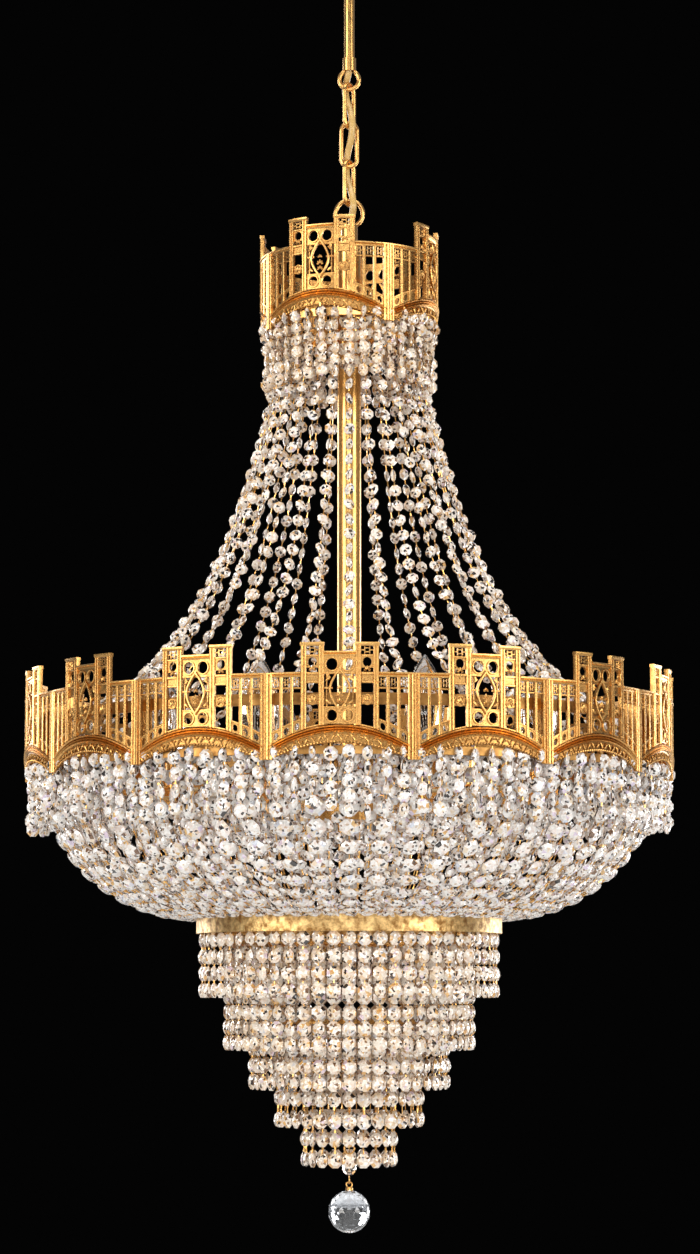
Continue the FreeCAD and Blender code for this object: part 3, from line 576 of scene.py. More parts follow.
class Strands:
    """Collects the beads and pins of many strands."""

    TILT = 7                   # degrees that a bead leans up or down at most

    # warm sets the beads' painted gilt reflections, open_star their painted dark star facets
    def __init__(self, name, seed, bead_scale=1.0, warm=0.2, open_star=0.0):
        self.name, self.rng = name, random.Random(seed)
        self.seed, self.warm, self.open_star = seed, warm, open_star
        self.bead, self.pin = octagon_bead(), pin_link()
        self.kinds = facet_kinds(self.bead)
        self.beads, self.pins = bmesh.new(), bmesh.new()
        self.scale = bead_scale

    def hang(self, path, angle, pitch, phase=0.5, scales=None, twist=60.0):
        """Strings beads along a path of (radius, z), from its first point.

        The pitch is the distance between beads. The phase, in pitches, sets the first bead; a
        pair is a range to draw it from. Scales are the first and the last bead's. Beads turn
        by up to twist degrees about the strand.
        """
        if isinstance(phase, tuple):
            phase = self.rng.uniform(*phase)
        first, last = scales or (self.scale, self.scale)
        bm, pm = bmesh.new(), bmesh.new()
        lengths = [0.0]
        for a, b in zip(path[:-1], path[1:]):
            lengths.append(lengths[-1] + math.dist(a, b))
        total = lengths[-1]
        count = max(int(round(total / pitch)), 1)
        pitch = total / count

        def stand(s):
            """The place and the lean of the path at the length s."""
            s = min(max(s, 0.0), total)
            k = max(i for i, x in enumerate(lengths[:-1]) if x <= s + 1e-9)
            t = (s - lengths[k]) / (lengths[k + 1] - lengths[k])
            (r0, z0), (r1, z1) = path[k], path[k + 1]
            place = (0, -(r0 + (r1 - r0) * t), z0 + (z1 - z0) * t)
            lean = math.atan2(r1 - r0, z0 - z1)
            return Matrix.Translation(place) @ Matrix.Rotation(-lean, 4, "X")

        for i in range(count):
            k = first + (last - first) * i / max(count - 1, 1)
            twirl = self.rng.uniform(-twist, twist)
            tilt = self.rng.uniform(-self.TILT, self.TILT)
            bead_place = stand((i + phase) * pitch)
            add_mesh(bm, self.bead,
                     bead_place @ turned(twirl, "Z") @ turned(tilt, "X") @ Matrix.Scale(k, 4))
            # the pin before this bead; no pin stands above the path's first point
            pin_place = stand(i * pitch if phase > 0.3 else (i + phase - 0.5) * pitch)
            add_mesh(pm, self.pin, pin_place @ turned(self.rng.uniform(-90, 90), "Z"))
        for source, target in ((bm, self.beads), (pm, self.pins)):
            mesh = to_mesh(source, "strand")
            add_mesh(target, mesh, turned(angle, "Z"))
            bpy.data.meshes.remove(mesh)

    def done(self, node):
        """Makes one piece of the beads, in place of the node, and one of the pins."""
        beads = to_mesh(self.beads, self.name)
        paint_fire(beads, self.kinds, self.seed, self.warm, self.open_star)
        piece(beads, self.name, "chandelier", crystal(), [node])
        name = self.name + "_pins"
        piece(to_mesh(self.pins, name), name, "chandelier", gilt())


def bezier(p, t):
    """The point at t, 0 to 1, of the cubic curve that the four points p guide."""
    k = [(1 - t) ** 3, 3 * t * (1 - t) ** 2, 3 * t * t * (1 - t), t ** 3]
    return tuple(sum(k[i] * p[i][j] for i in range(4)) for j in range(2))


# ------------------------------------------------------------------ crown panels
class PanelMaker:
    """Builds one crown panel flat (x along, y outwards as -Y, z up), then bends it.

    Its numbers are heights over the corner posts' feet, distances along the panel and
    distances outwards from its back, all in metres.
    """

    RAIL_TOP = 0.0735
    CENTRE_TOP = 0.0910
    TOWER_TOP = 0.0985
    TOWER_IN = 0.0134          # distances from the panel's middle
    TOWER_OUT = 0.0331
    STILE = 0.0046             # widths
    SLAT = 0.0027
    POST = 0.0050
    GAP = 0.0004               # between neighbouring panels
    RIDGES = 0.0070            # height of the arch's three ridges
    LEAVES = 21                # under them, each with a smaller one
    PEARLS = 42
    WALL = 0.003               # from the panel's back out to the bend's radius
    RELIEF_FROM = 0.0016       # work farther out than this brightens out of the painted recess shade, over the span
    RELIEF_SPAN = 0.0018

    def __init__(self, valley_radius, bow, count, base):
        half_sector = math.pi / count
        chord = valley_radius * math.sin(half_sector)
        rise = valley_radius * (1 - math.cos(half_sector)) + bow
        self.bend = (chord ** 2 + rise ** 2) / (2 * rise)
        self.centre = valley_radius * math.cos(half_sector) + rise - self.bend
        self.length = 2 * math.asin(min(chord / self.bend, 1.0)) * self.bend - self.GAP
        self.reach = self.length / 2 - self.POST * 0.7
        self.base, self.count = base, count
        self.bm = bmesh.new()

    def band_foot(self, x):
        """Lower edge of the foliage band under the arch's ridges."""
        return sizes().band_rise * max(1 - (x / self.reach) ** 2, 0.0)

    def crest(self, x):
        """Underside of the arch's ridges."""
        s = sizes()
        return s.ridge_foot + (s.ridge_crest - s.ridge_foot) * max(1 - (x / self.reach) ** 2, 0.0)

    def over_arch(self, x, h):
        return self.crest(x) + self.RIDGES + h

    def in_band(self, x, h):
        return self.band_foot(x) + h * (self.crest(x) - self.band_foot(x))

    def bar(self, x0, x1, z0, z1, out0, out1, shape=None, chamfer=0.0004):
        """A straight bar with chamfered front edges; a shape lifts its heights."""
        tmp = bmesh.new()
        box(tmp, min(x0, x1), max(x0, x1), -out1, -out0, z0, z1)
        if shape:
            for v in tmp.verts:
                v.co.z = shape(v.co.x, v.co.z)
        if chamfer:
            middle = -(out0 + out1) / 2
            edges = [e for e in tmp.edges if e.verts[0].co.y < middle and e.verts[1].co.y < middle]
            chamfer_edges(tmp, edges, min(chamfer, abs(x1 - x0) * 0.3))
        mesh = to_mesh(tmp, "bar")
        add_mesh(self.bm, mesh, Matrix())
        bpy.data.meshes.remove(mesh)

    def standing(self, x, width, z1, out0, out1, sill=0.0):
        """An upright bar from the arch up to z1; its foot follows the arch."""
        self.bar(x - width / 2, x + width / 2, 0.0, 1.0, out0, out1,
                 shape=lambda at, h: z1 if h > 0.5 else self.over_arch(at, sill))

    def moulding(self, profile, x0, x1, steps, shape=None):
        """Sweeps a closed profile of (out, height) along x; a shape lifts its heights."""
        bm = self.bm
        first = [bm.verts.new((x0, -o, h)) for o, h in profile]
        face = bm.faces.new(first)
        made_verts = list(first)
        for i in range(steps):
            made = bmesh.ops.extrude_face_region(bm, geom=[face])
            new = new_verts(made)
            bmesh.ops.translate(bm, vec=((x1 - x0) / steps, 0, 0), verts=new)
            if i > 0:
                bmesh.ops.delete(bm, geom=[face], context="FACES_ONLY")
            face = new_face(made)
            made_verts += new
        if shape:
            for v in made_verts:
                v.co.z = shape(v.co.x, v.co.z)

    def place(self, tmp, x, z, out0, shape=None):
        """Stands a flat sheet of work (made in XY, thickness in Z) on the panel."""
        mesh = to_mesh(tmp, "sheet", normals=True)
        new = add_mesh(self.bm, mesh, Matrix.Translation((x, -out0, z)) @ turned(90, "X"))
        if shape:
            for v in new:
                v.co.z = shape(v.co.x, v.co.z)
        bpy.data.meshes.remove(mesh)

    @staticmethod
    def outline(verts, rx, rz, pointed=False):
        """Turns the unit circle's points into an ellipse or a pointed oval."""
        for v in verts:
            if pointed:
                side = math.copysign(1.0, v.co.x) if abs(v.co.y) < 0.999 else 0.0
                v.co.x = side * rx * (1 - abs(v.co.y) ** 1.7)
            else:
                v.co.x *= rx
            v.co.y *= rz

    def eyelet(self, x, z, rx, rz, wall, out0, out1, segments=20, pointed=False):
        """A raised ring, round or pointed, with a chamfered front."""
        tmp = bmesh.new()
        bmesh.ops.create_circle(tmp, cap_ends=True, segments=segments, radius=1.0)
        self.outline(tmp.verts, rx, rz, pointed)
        bmesh.ops.inset_region(tmp, faces=list(tmp.faces), thickness=wall, use_boundary=True,
                               use_even_offset=True)
        bmesh.ops.delete(tmp, geom=[max(tmp.faces, key=lambda f: len(f.verts))], context="FACES")
        made = bmesh.ops.extrude_face_region(tmp, geom=list(tmp.faces))
        front = new_verts(made)
        bmesh.ops.translate(tmp, vec=(0, 0, out1 - out0), verts=front)
        rims = [e for e in tmp.edges if e.verts[0] in front and e.verts[1] in front
                and any(abs(f.normal.z) < 0.5 for f in e.link_faces)]
        chamfer_edges(tmp, rims, wall * 0.3)
        self.place(tmp, x, z, out0)

    def pane(self, x0, x1, z0, z1, rx, rz, out0, out1, segments=24, shape=None):
        """A flat pane with a round opening in its middle."""
        x0, x1 = min(x0, x1), max(x0, x1)
        tmp = bmesh.new()
        bmesh.ops.create_circle(tmp, cap_ends=False, segments=segments, radius=1.0)
        rim = new_verts(bmesh.ops.extrude_edge_only(tmp, edges=list(tmp.edges)))
        for v in rim:
            v.co /= max(abs(v.co.x), abs(v.co.y))
            v.co.x *= (x1 - x0) / 2
            v.co.y *= (z1 - z0) / 2
        self.outline([v for v in tmp.verts if v not in rim], rx, rz)
        made = bmesh.ops.extrude_face_region(tmp, geom=list(tmp.faces))
        bmesh.ops.translate(tmp, vec=(0, 0, out1 - out0), verts=new_verts(made))
        self.place(tmp, (x0 + x1) / 2, (z0 + z1) / 2, out0, shape)

    def leaf(self, x, z, rx, rz, out, turn=0.0, thick=0.0010):
        """A small raised lobe of foliage."""
        made = bmesh.ops.create_icosphere(self.bm, subdivisions=1, radius=1.0)
        bmesh.ops.transform(self.bm, verts=made["verts"], matrix=Matrix.Translation((x, -out, z))
                            @ turned(turn, "Y") @ Matrix.Diagonal((rx, thick, rz, 1)))

    def spray(self, x, z, size, out):
        """Five lobes that open like a palmette."""
        for turn, reach, k in ((0, 0.55, 1.0), (38, 0.5, 0.85), (-38, 0.5, 0.85),
                               (78, 0.45, 0.7), (-78, 0.45, 0.7)):
            a = math.radians(turn)
            self.leaf(x + math.sin(a) * size * reach, z + math.cos(a) * size * reach,
                      size * 0.19, size * 0.42 * k, out, turn)

    def fret(self, x0, x1, z0, z1, out0, out1):
        """A small square pane of traditional key fretwork."""
        x0, x1 = min(x0, x1), max(x0, x1)
        t = 0.0007
        w, h = x1 - x0, z1 - z0
        for k in (0.30, 0.70):
            self.bar(x0 + w * k - t / 2, x0 + w * k + t / 2, z0 + h * 0.12, z1 - h * 0.12,
                     out0, out1, chamfer=0)
        for a, b, k in ((0, 0.30, 0.46), (0.70, 1, 0.46), (0.30, 0.70, 0.26), (0.30, 0.70, 0.68)):
            self.bar(x0 + w * a, x0 + w * b, z0 + h * k, z0 + h * k + t, out0, out1, chamfer=0)

    def arch(self):
        """Three ridges over a band of foliage that ends in a row of pearls."""
        h = self.RIDGES / 3
        profile = [(0.0004, 0.0), (0.0026, 0.0)]
        for k, out in enumerate((0.0040, 0.0038, 0.0046)):
            z = h * k
            profile += [(out - 0.0010, z + h * 0.12), (out, z + h * 0.42),
                        (out - 0.0010, z + h * 0.74), (0.0019, z + h * 0.88)]
        profile += [(0.0030, self.RIDGES), (0.0004, self.RIDGES)]
        end = self.length / 2 - self.POST * 0.5
        self.moulding(profile, -end, end, 26, lambda x, z: self.crest(x) + z)
        band = [(0.0006, 0.0), (0.0022, 0.0), (0.0016, 0.15), (0.0016, 0.85), (0.0022, 1.0),
                (0.0006, 1.0)]
        self.moulding(band, -end, end, 20, self.in_band)
        for i in range(self.LEAVES):
            x = -self.reach + 2 * self.reach * (i + 0.5) / self.LEAVES
            z = self.in_band(x, 0.55)
            size = (self.crest(x) - self.band_foot(x)) * 0.42
            side = 1 if i % 2 else -1
            self.leaf(x, z, 0.0008, size, 0.0024, turn=32 * side)
            self.leaf(x + 0.0016, z + size * 0.3, 0.0007, size * 0.55, 0.0022, turn=-50 * side)
        for i in range(self.PEARLS):
            x = -self.reach + 2 * self.reach * (i + 0.5) / self.PEARLS
            self.leaf(x, self.in_band(x, 0.0) + 0.0011, 0.0011, 0.0011, 0.0024)

    def ledge(self, x0, x1, z):
        """A moulded ledge whose top is at z."""
        profile = [(0.0, z - 0.0042), (0.0028, z - 0.0042), (0.0034, z - 0.0028),
                   (0.0030, z - 0.0024), (0.0044, z - 0.0014), (0.0044, z - 0.0003),
                   (0.0038, z), (0.0, z)]
        self.moulding(profile, x0, x1, 5)

    def post(self, sign):
        """Corner post of three ridges."""
        edge = self.length / 2
        top = self.RAIL_TOP - 0.001
        ridges = ((0.0, 0.0018, 0.0044), (0.0017, 0.0032, 0.0030), (0.0031, 0.0050, 0.0040))
        for a, b, out in ridges:
            self.bar(sign * (edge - a), sign * (edge - b), 0.0, top, 0.0002, out)

    def slats(self, sign):
        """Two slats, and in each gap a fret pane, a sill and a small round light."""
        inner, outer = self.TOWER_OUT, self.length / 2 - self.POST
        gap = (outer - inner - 2 * self.SLAT) / 3
        top = self.RAIL_TOP - 0.0040
        for i in range(3):
            a = inner + i * (gap + self.SLAT)
            b = a + gap
            if i < 2:
                self.standing(sign * (b + self.SLAT / 2), self.SLAT, top, 0.0006, 0.0034)
            self.bar(sign * a, sign * b, top - 0.0102, top - 0.0086, 0.0008, 0.0028)
            self.fret(sign * a, sign * b, top - 0.0088, top, 0.0008, 0.0024)
            self.pane(sign * a, sign * b, 0.0, 0.0088, gap * 0.34, 0.0030, 0.0008, 0.0024,
                      segments=16, shape=self.over_arch)
            self.bar(sign * a, sign * b, 0.0084, 0.0100, 0.0008, 0.0032, shape=self.over_arch)

    def tower(self, sign):
        """Two ribbed stiles with a cap, a fret pane, open lights and two knots of foliage."""
        x_in, x_out, cap = self.TOWER_IN, self.TOWER_OUT, self.TOWER_TOP
        for x in (x_in + self.STILE / 2, x_out - self.STILE / 2):
            self.standing(sign * x, self.STILE, cap - 0.002, 0.0004, 0.0028)
            for q in (-1, 1):
                self.standing(sign * x + q * 0.0014, 0.0016, cap - 0.0026, 0.0024, 0.0040)
        a, b = x_in + self.STILE, x_out - self.STILE
        mid = sign * (a + b) / 2
        profile = [(0.0, cap - 0.0030), (0.0036, cap - 0.0030), (0.0044, cap - 0.0014),
                   (0.0044, cap), (0.0, cap)]
        self.moulding(profile, *sorted((sign * (x_in - 0.0004), sign * (x_out + 0.0004))), 4)
        rails = ((0.0866, 0.0882, 0.0034), (0.0640, 0.0660, 0.0030), (0.0712, 0.0732, 0.0036))
        for z0, z1, out in rails:
            self.bar(sign * a, sign * b, z0, z1, 0.0006, out)
        self.bar(sign * a, sign * b, 0.0655, 0.0715, 0.0006, 0.0022)
        self.fret(sign * a, sign * b, 0.0880, cap - 0.0028, 0.0008, 0.0026)
        self.pane(sign * a, sign * b, 0.0770, 0.0868, (b - a) * 0.36, 0.0042, 0.0006, 0.0022,
                  segments=16)
        self.spray(mid, 0.0745, 0.0046, 0.0022)
        self.bar(sign * a, sign * b, 0.0462, 0.0542, 0.0008, 0.0020)
        self.spray(mid, 0.0480, 0.0062, 0.0026)
        self.eyelet(mid, 0.0500, 0.0040, 0.0046, 0.0010, 0.0012, 0.0030, 14)
        self.bar(sign * a, sign * b, 0.0, 0.0014, 0.0006, 0.0034, shape=self.over_arch)

    def lights(self, sign):
        """Round lights over and under the oval, and the bars beside it."""
        edge = self.TOWER_IN
        x = edge / 2
        self.pane(0.0, sign * edge, 0.0725, 0.0872, 0.0046, 0.0052, 0.0006, 0.0022)
        self.eyelet(sign * x, 0.0798, 0.0060, 0.0064, 0.0013, 0.0018, 0.0034, 20)
        self.pane(0.0, sign * edge, 0.0298, 0.0436, 0.0042, 0.0048, 0.0006, 0.0022)
        self.eyelet(sign * x, 0.0367, 0.0056, 0.0060, 0.0013, 0.0018, 0.0034, 20)
        self.bar(sign * 0.0060, sign * edge, 0.0590, 0.0606, 0.0008, 0.0028)
        self.bar(sign * 0.0104, sign * 0.0118, 0.0436, 0.0725, 0.0006, 0.0022)
        self.leaf(sign * 0.0098, 0.0676, 0.0034, 0.0014, 0.0022, turn=sign * 40)
        self.leaf(sign * 0.0094, 0.0480, 0.0034, 0.0014, 0.0022, turn=sign * -40)
        self.leaf(sign * 0.0100, 0.0700, 0.0016, 0.0030, 0.0022, turn=sign * 20)

    def build(self):
        """The whole panel: arch, ledges, both halves, and the oval with its foliage."""
        self.arch()
        edge = self.length / 2
        self.ledge(-edge, -self.TOWER_OUT, self.RAIL_TOP)
        self.ledge(self.TOWER_OUT, edge, self.RAIL_TOP)
        self.ledge(-self.TOWER_IN, self.TOWER_IN, self.CENTRE_TOP)
        for sign in (-1, 1):
            self.post(sign)
            self.slats(sign)
            self.tower(sign)
            self.lights(sign)
        self.bar(-self.TOWER_IN, self.TOWER_IN, 0.0715, 0.0735, 0.0006, 0.0026)
        self.bar(-self.TOWER_IN, self.TOWER_IN, 0.0428, 0.0444, 0.0006, 0.0026)
        self.eyelet(0, 0.0582, 0.0094, 0.0186, 0.0018, 0.0014, 0.0044, 32, pointed=True)
        self.spray(0, 0.0475, 0.0046, 0.0024)
        self.spray(0, 0.0525, 0.0050, 0.0028)
        self.spray(0, 0.0590, 0.0034, 0.0026)
        return self

    def bent(self):
        """Bends the flat work to the panel's radius; 'relief' keeps how far it stands out, for the
        painted recess shade.
        """
        bm = self.bm
        bmesh.ops.recalc_face_normals(bm, faces=bm.faces)
        relief = bm.verts.layers.float.new("relief")
        for v in bm.verts:
            x, out, z = v.co.x, -v.co.y, v.co.z
            v[relief] = min(max((out - self.RELIEF_FROM) / self.RELIEF_SPAN, 0.0), 1.0)
            a = x / self.bend
            r = self.bend - self.WALL + out
            v.co = (r * math.sin(a), -self.centre - r * math.cos(a), self.base + z)
        return bm

    def ring(self, first):
        """All the panels of a crown, the first of them turned by so many degrees."""
        bm = self.bent()
        bmesh.ops.rotate(bm, cent=(0, 0, 0), matrix=turned(first, "Z", 3), verts=bm.verts)
        bmesh.ops.spin(bm, geom=list(bm.verts) + list(bm.edges) + list(bm.faces), cent=(0, 0, 0),
                       axis=(0, 0, 1), angle=math.tau * (self.count - 1) / self.count,
                       steps=self.count - 1, use_duplicate=True)
        return bm


CROWNS = [                   # name, node, radius at the joints, bow, panels, turn in degrees
    ("main_crown", "crown_panels", 0.300, 0.0027, 15, -1.5),
    ("top_crown", "top_crown_panels", 0.084, 0.0, 4, -19.0),
]


class CHANDELIER_OT_crowns(bpy.types.Operator):
    """Builds the pierced panels of both crowns"""
    bl_idname = "chandelier.crowns"
    bl_label = "Crown panels"

    def execute(self, context):
        for name, node, radius, bow, count, turn in CROWNS:
            maker = PanelMaker(radius, bow, count, low(node).z).build()
            mesh = to_mesh(maker.ring(turn), name)
            piece(mesh, name, "chandelier", cast_gilt(), [node])
        return {"FINISHED"}


# ------------------------------------------------------------------ strands
# Radii and pitches are in metres. A pitch is the distance between the beads of a strand.
COLLAR_STRANDS = 38          # in each of the collar's two rows
COLLAR_PITCH = 0.0120        # of the outer row
COLLAR_INNER_PITCH = 0.0125
SWEPT_STRANDS = 30
SWEPT_PITCH = 0.0152
SWEPT_STEPS = 24             # straight steps of a swept strand's curve

FRINGE_STRANDS = 120         # in each of the fringe's two rows
FRINGE_RADIUS = 0.2952
FRINGE_PITCH = 0.0135        # of the outer row
FRINGE_INNER_PITCH = 0.0145
BASKET_STRANDS = 60          # outside; two smaller ones show in each gap
BASKET_PITCH = 0.0202        # of the outside strands
BASKET_INNER_PITCH = 0.0190
BASKET_INSET = 0.0070        # of the smaller strands, at the hoop
BASKET_RADII = (0.1423, 0.2843)          # at the ring and at the hoop
BASKET_STEPS = 40            # straight steps of a basket strand's curve

TIERS = [                    # radius, number of strands, pitch
    (0.1365, 62, 0.0150), (0.1135, 52, 0.0150), (0.0902, 42, 0.0150), (0.0664, 31, 0.0192),
    (0.0416, 20, 0.0192),
]


class CHANDELIER_OT_sweep(bpy.types.Operator):
    """Strings the short top collar and the long swept strands"""
    bl_idname = "chandelier.sweep"
    bl_label = "Collar and swept strands"

    def execute(self, context):
        top, end = high("top_fringe").z, low("top_fringe").z
        r = high("top_hoop").y - 0.0025
        collar = Strands("collar_strands", 11, bead_scale=0.84, warm=0.9)
        for i in range(COLLAR_STRANDS):
            start = collar.rng.uniform(-0.004, 0.004)
            path = [(r + 0.0060, top + 0.008), (r + 0.002, top - 0.012 + start),
                    (r + 0.002, end - 0.006)]
            collar.hang(path, 360 * i / COLLAR_STRANDS, COLLAR_PITCH, phase=(0.35, 0.65), twist=80)
            start = collar.rng.uniform(-0.004, 0.004)
            path = [(r - 0.004, top + start), (r - 0.004, end + 0.002)]
            collar.hang(path, 360 * (i + 0.5) / COLLAR_STRANDS, COLLAR_INNER_PITCH,
                        phase=(0.35, 0.65), twist=80)
        collar.done("top_fringe")
        sweep = Strands("swept_strands", 12, warm=0.5, open_star=0.22)
        hoop = low("inner_hoop").z
        reach = high("inner_hoop").x - 0.0033
        guides = [(0.0710, -0.442), (0.092, -0.515), (0.132, hoop + 0.037), (reach, hoop + 0.005)]
        path = [(0.0695, high("upper_garlands").z)]
        path += [bezier(guides, i / SWEPT_STEPS) for i in range(SWEPT_STEPS + 1)]
        for i in range(SWEPT_STRANDS):
            sweep.hang(path, 360 * i / SWEPT_STRANDS, SWEPT_PITCH, scales=(0.78, 0.88), twist=75)
        sweep.done("upper_garlands")
        return {"FINISHED"}


class CHANDELIER_OT_basket(bpy.types.Operator):
    """Strings the main fringe and the basket"""
    bl_idname = "chandelier.basket"
    bl_label = "Main fringe and basket"

    def fringe(self):
        top, end = high("main_fringe").z, low("main_fringe").z
        r, step = FRINGE_RADIUS, 360 / FRINGE_STRANDS
        fringe = Strands("fringe_strands", 21, bead_scale=0.92, warm=0.1, open_star=0.03)
        for i in range(FRINGE_STRANDS):
            drop = fringe.rng.uniform(-0.001, 0.006)
            path = [(r + 0.0026, top + 0.0085), (r + 0.0020, top), (r, top - 0.014),
                    (r, end + drop)]
            fringe.hang(path, step * i, FRINGE_PITCH, phase=(0.4, 0.6), twist=85)
        for i in range(FRINGE_STRANDS):
            start = fringe.rng.uniform(-0.004, 0.006)
            path = [(r - 0.007, top + 0.003 + start), (r - 0.007, end + 0.014)]
            fringe.hang(path, step * (i + 0.5), FRINGE_INNER_PITCH, phase=(0.35, 0.65), twist=85)
        fringe.done("main_fringe")

    @staticmethod
    def curve(inset):
        """A quarter oval from the hoop down to the ring, where its last step curls up."""
        foot, rim = high("basket_ring").z - 0.0045, high("basket_strands").z
        r0, r1 = BASKET_RADII[0], BASKET_RADII[1] - inset
        path = []
        for i in range(BASKET_STEPS - 1):
            t = math.radians(90 * i / BASKET_STEPS)
            path.append((r0 + (r1 - r0) * math.cos(t), rim - (rim - foot) * math.sin(t)))
        return path + [(r0 + 0.004, foot + 0.004)]

    def execute(self, context):
        self.fringe()
        basket = Strands("basket_beads", 22, warm=0.1)
        outside, inside = self.curve(0.0), self.curve(BASKET_INSET)
        step = 360 / BASKET_STRANDS
        for i in range(BASKET_STRANDS):
            basket.hang(outside, step * i, BASKET_PITCH, scales=(1.44, 0.88), twist=18)
            for side in (-1, 1):
                basket.hang(inside, step * (i + 0.5) + side, BASKET_INNER_PITCH, phase=(0.0, 0.6),
                            scales=(1.02, 0.56), twist=60)
        basket.done("basket_strands")
        return {"FINISHED"}


class CHANDELIER_OT_tiers(bpy.types.Operator):
    """Strings the five stepped tiers"""
    bl_idname = "chandelier.tiers"
    bl_label = "Stepped tiers"

    def execute(self, context):
        for k, (radius, count, pitch) in enumerate(TIERS, 1):
            node = "tier_strands_%d" % k
            path = [(radius, high(node).z + 0.002), (radius, low(node).z)]
            tier = Strands("tier_beads_%d" % k, 30 + k, warm=0.68)
            for i in range(count):
                tier.hang(path, 360 * i / count, pitch, phase=0.52, twist=24)
            tier.done(node)
        return {"FINISHED"}


# ------------------------------------------------------------------ lamps, drop and cord
LAMPS = 8
LAMP_RADIUS = 0.190          # from the axis to a lamp
LAMP_TURN = 20.5             # degrees from the front to the first lamp
BULB = [                     # radius, height over the holder
    (0.0095, -0.002), (0.0105, 0.002), (0.0138, 0.010), (0.0168, 0.022), (0.0174, 0.030),
    (0.0164, 0.041), (0.0130, 0.054), (0.0085, 0.064), (0.0042, 0.071),
]


class CHANDELIER_OT_lamps(bpy.types.Operator):
    """Makes the candle bulbs with their filaments"""
    bl_idname = "chandelier.lamps"
    bl_label = "Candle bulbs"

    def execute(self, context):
        lowest, top = low("candle_bulbs").z, high("candle_bulbs").z
        seat = high("lamp_holders").z
        glass = [(r, seat + h) for r, h in BULB] + [(0.0018, top - 0.001), (0.0, top)]
        cap = [(0.0, lowest), (0.0045, lowest), (0.0072, lowest + 0.003), (0.0072, seat - 0.008),
               (0.0098, seat - 0.0025), (0.0, seat - 0.0025)]
        wire = bmesh.new()
        for side in (-1, 1):
            cone(wire, 6, 0.0004, 0.0004, 0.034, (side * 0.0032, 0, seat + 0.015))
        cone(wire, 8, 0.0026, 0.0016, 0.016, (0, 0, seat + 0.004))
        cone(wire, 6, 0.0005, 0.0005, 0.0066, (0, 0, seat + 0.032), lying=True)
        bulb, cap, wire = lathe(glass, "bulb"), lathe(cap, "cap"), to_mesh(wire, "filament")
        kinds = (
            ("bulb_glasses", bulb, "bulb_glass", clear_glass(), ["candle_bulbs"], 60),
            ("bulb_caps", cap, "zinc_steel", steel(), (), 40),
            ("filaments", wire, "zinc_steel", steel(), (), 40),
        )
        for name, mesh, slot, look, replaces, smooth in kinds:
            bm = bmesh.new()
            for i in range(LAMPS):
                around = turned(LAMP_TURN + 360 / LAMPS * i, "Z")
                add_mesh(bm, mesh, around @ Matrix.Translation((0, -LAMP_RADIUS, 0)))
            piece(to_mesh(bm, name), name, "chandelier", look, replaces, smooth)
        return {"FINISHED"}


BALL_RADIUS = 0.0194
BALL_SIDES = 16
BALL_ROWS = 10
BALL_TINT = (0.82, 0.85, 0.89, 1.0)


class CHANDELIER_OT_drop(bpy.types.Operator):
    """Cuts the drop's small octagon and its ball"""
    bl_idname = "chandelier.drop"
    bl_label = "Drop"

    def execute(self, context):
        clear = crystal("Drop crystal", clear=0.96, rough=0.0, lean=0.0, fine=0.0, ior=1.62)
        lo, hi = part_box("drop_bead")
        bm = bmesh.new()
        bead = octagon_bead()
        add_mesh(bm, bead, Matrix.Translation((lo + hi) / 2))
        mesh = to_mesh(bm, "drop_octagon")
        # painted glints and reflections on the drop octagon's facets
        paint_fire(mesh, facet_kinds(bead), 5)
        piece(mesh, "drop_octagon", "drop_bead_body", clear, ["drop_bead"])
        lo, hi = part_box("drop_ball")
        mid = (lo + hi) / 2
        bm = bmesh.new()
        bmesh.ops.create_uvsphere(bm, u_segments=BALL_SIDES, v_segments=BALL_ROWS,
                                  radius=BALL_RADIUS)
        for v in bm.verts:
            if abs(v.co.z) < BALL_RADIUS * 0.999:
                row = round(math.acos(v.co.z / BALL_RADIUS) * BALL_ROWS / math.pi)
                if row % 2:
                    v.co = turned(180 / BALL_SIDES, "Z", 3) @ v.co
        bmesh.ops.triangulate(bm, faces=bm.faces, quad_method="SHORT_EDGE")
        bmesh.ops.recalc_face_normals(bm, faces=bm.faces)
        bmesh.ops.translate(bm, vec=(mid.x, mid.y, lo.z + BALL_RADIUS), verts=bm.verts)
        mesh = to_mesh(bm, "drop_sphere")
        layer = mesh.attributes.new("fire", "FLOAT_COLOR", "FACE")
        tints = np.tile(np.array(BALL_TINT, np.float32), len(mesh.polygons))
        layer.data.foreach_set("color", tints)
        piece(mesh, "drop_sphere", "drop_ball_body", clear, ["drop_ball"])
        return {"FINISHED"}


LINK_BEARINGS = [-0.1513, -0.1894, -0.2275, -0.2656]     # heights where a link hangs in the next
CORD_RADIUS = 0.00325
CORD_SIDES = 14
CORD_AWAY = 0.0124           # from the axis to the cord's guides beside the bearings
CORD_TURN = 117.5            # direction of the first guide, in degrees; the next is opposite
CORD_STEM = (-0.003, -0.1135, -0.1345)   # heights of its guides in the stem
CORD_NECK = -0.2848          # and in the top loop's neck


def curve_points(guides):
    """Points along a smooth curve, from the first to the last of its guides."""
    curve = bpy.data.curves.new("cord_route", "CURVE")
    curve.dimensions = "3D"
    curve.resolution_u = 10
    spline = curve.splines.new("NURBS")
    spline.points.add(len(guides) - 1)
    for p, s in zip(spline.points, guides):
        p.co = (*s, 1)
    spline.order_u = 3
    spline.use_endpoint_u = True
    ob = bpy.data.objects.new("cord_route", curve)
    bpy.context.scene.collection.objects.link(ob)
    bpy.context.view_layer.update()
    shown = ob.evaluated_get(bpy.context.evaluated_depsgraph_get())
    points = [v.co.copy() for v in bpy.data.meshes.new_from_object(shown).vertices]
    bpy.data.objects.remove(ob)
    return points


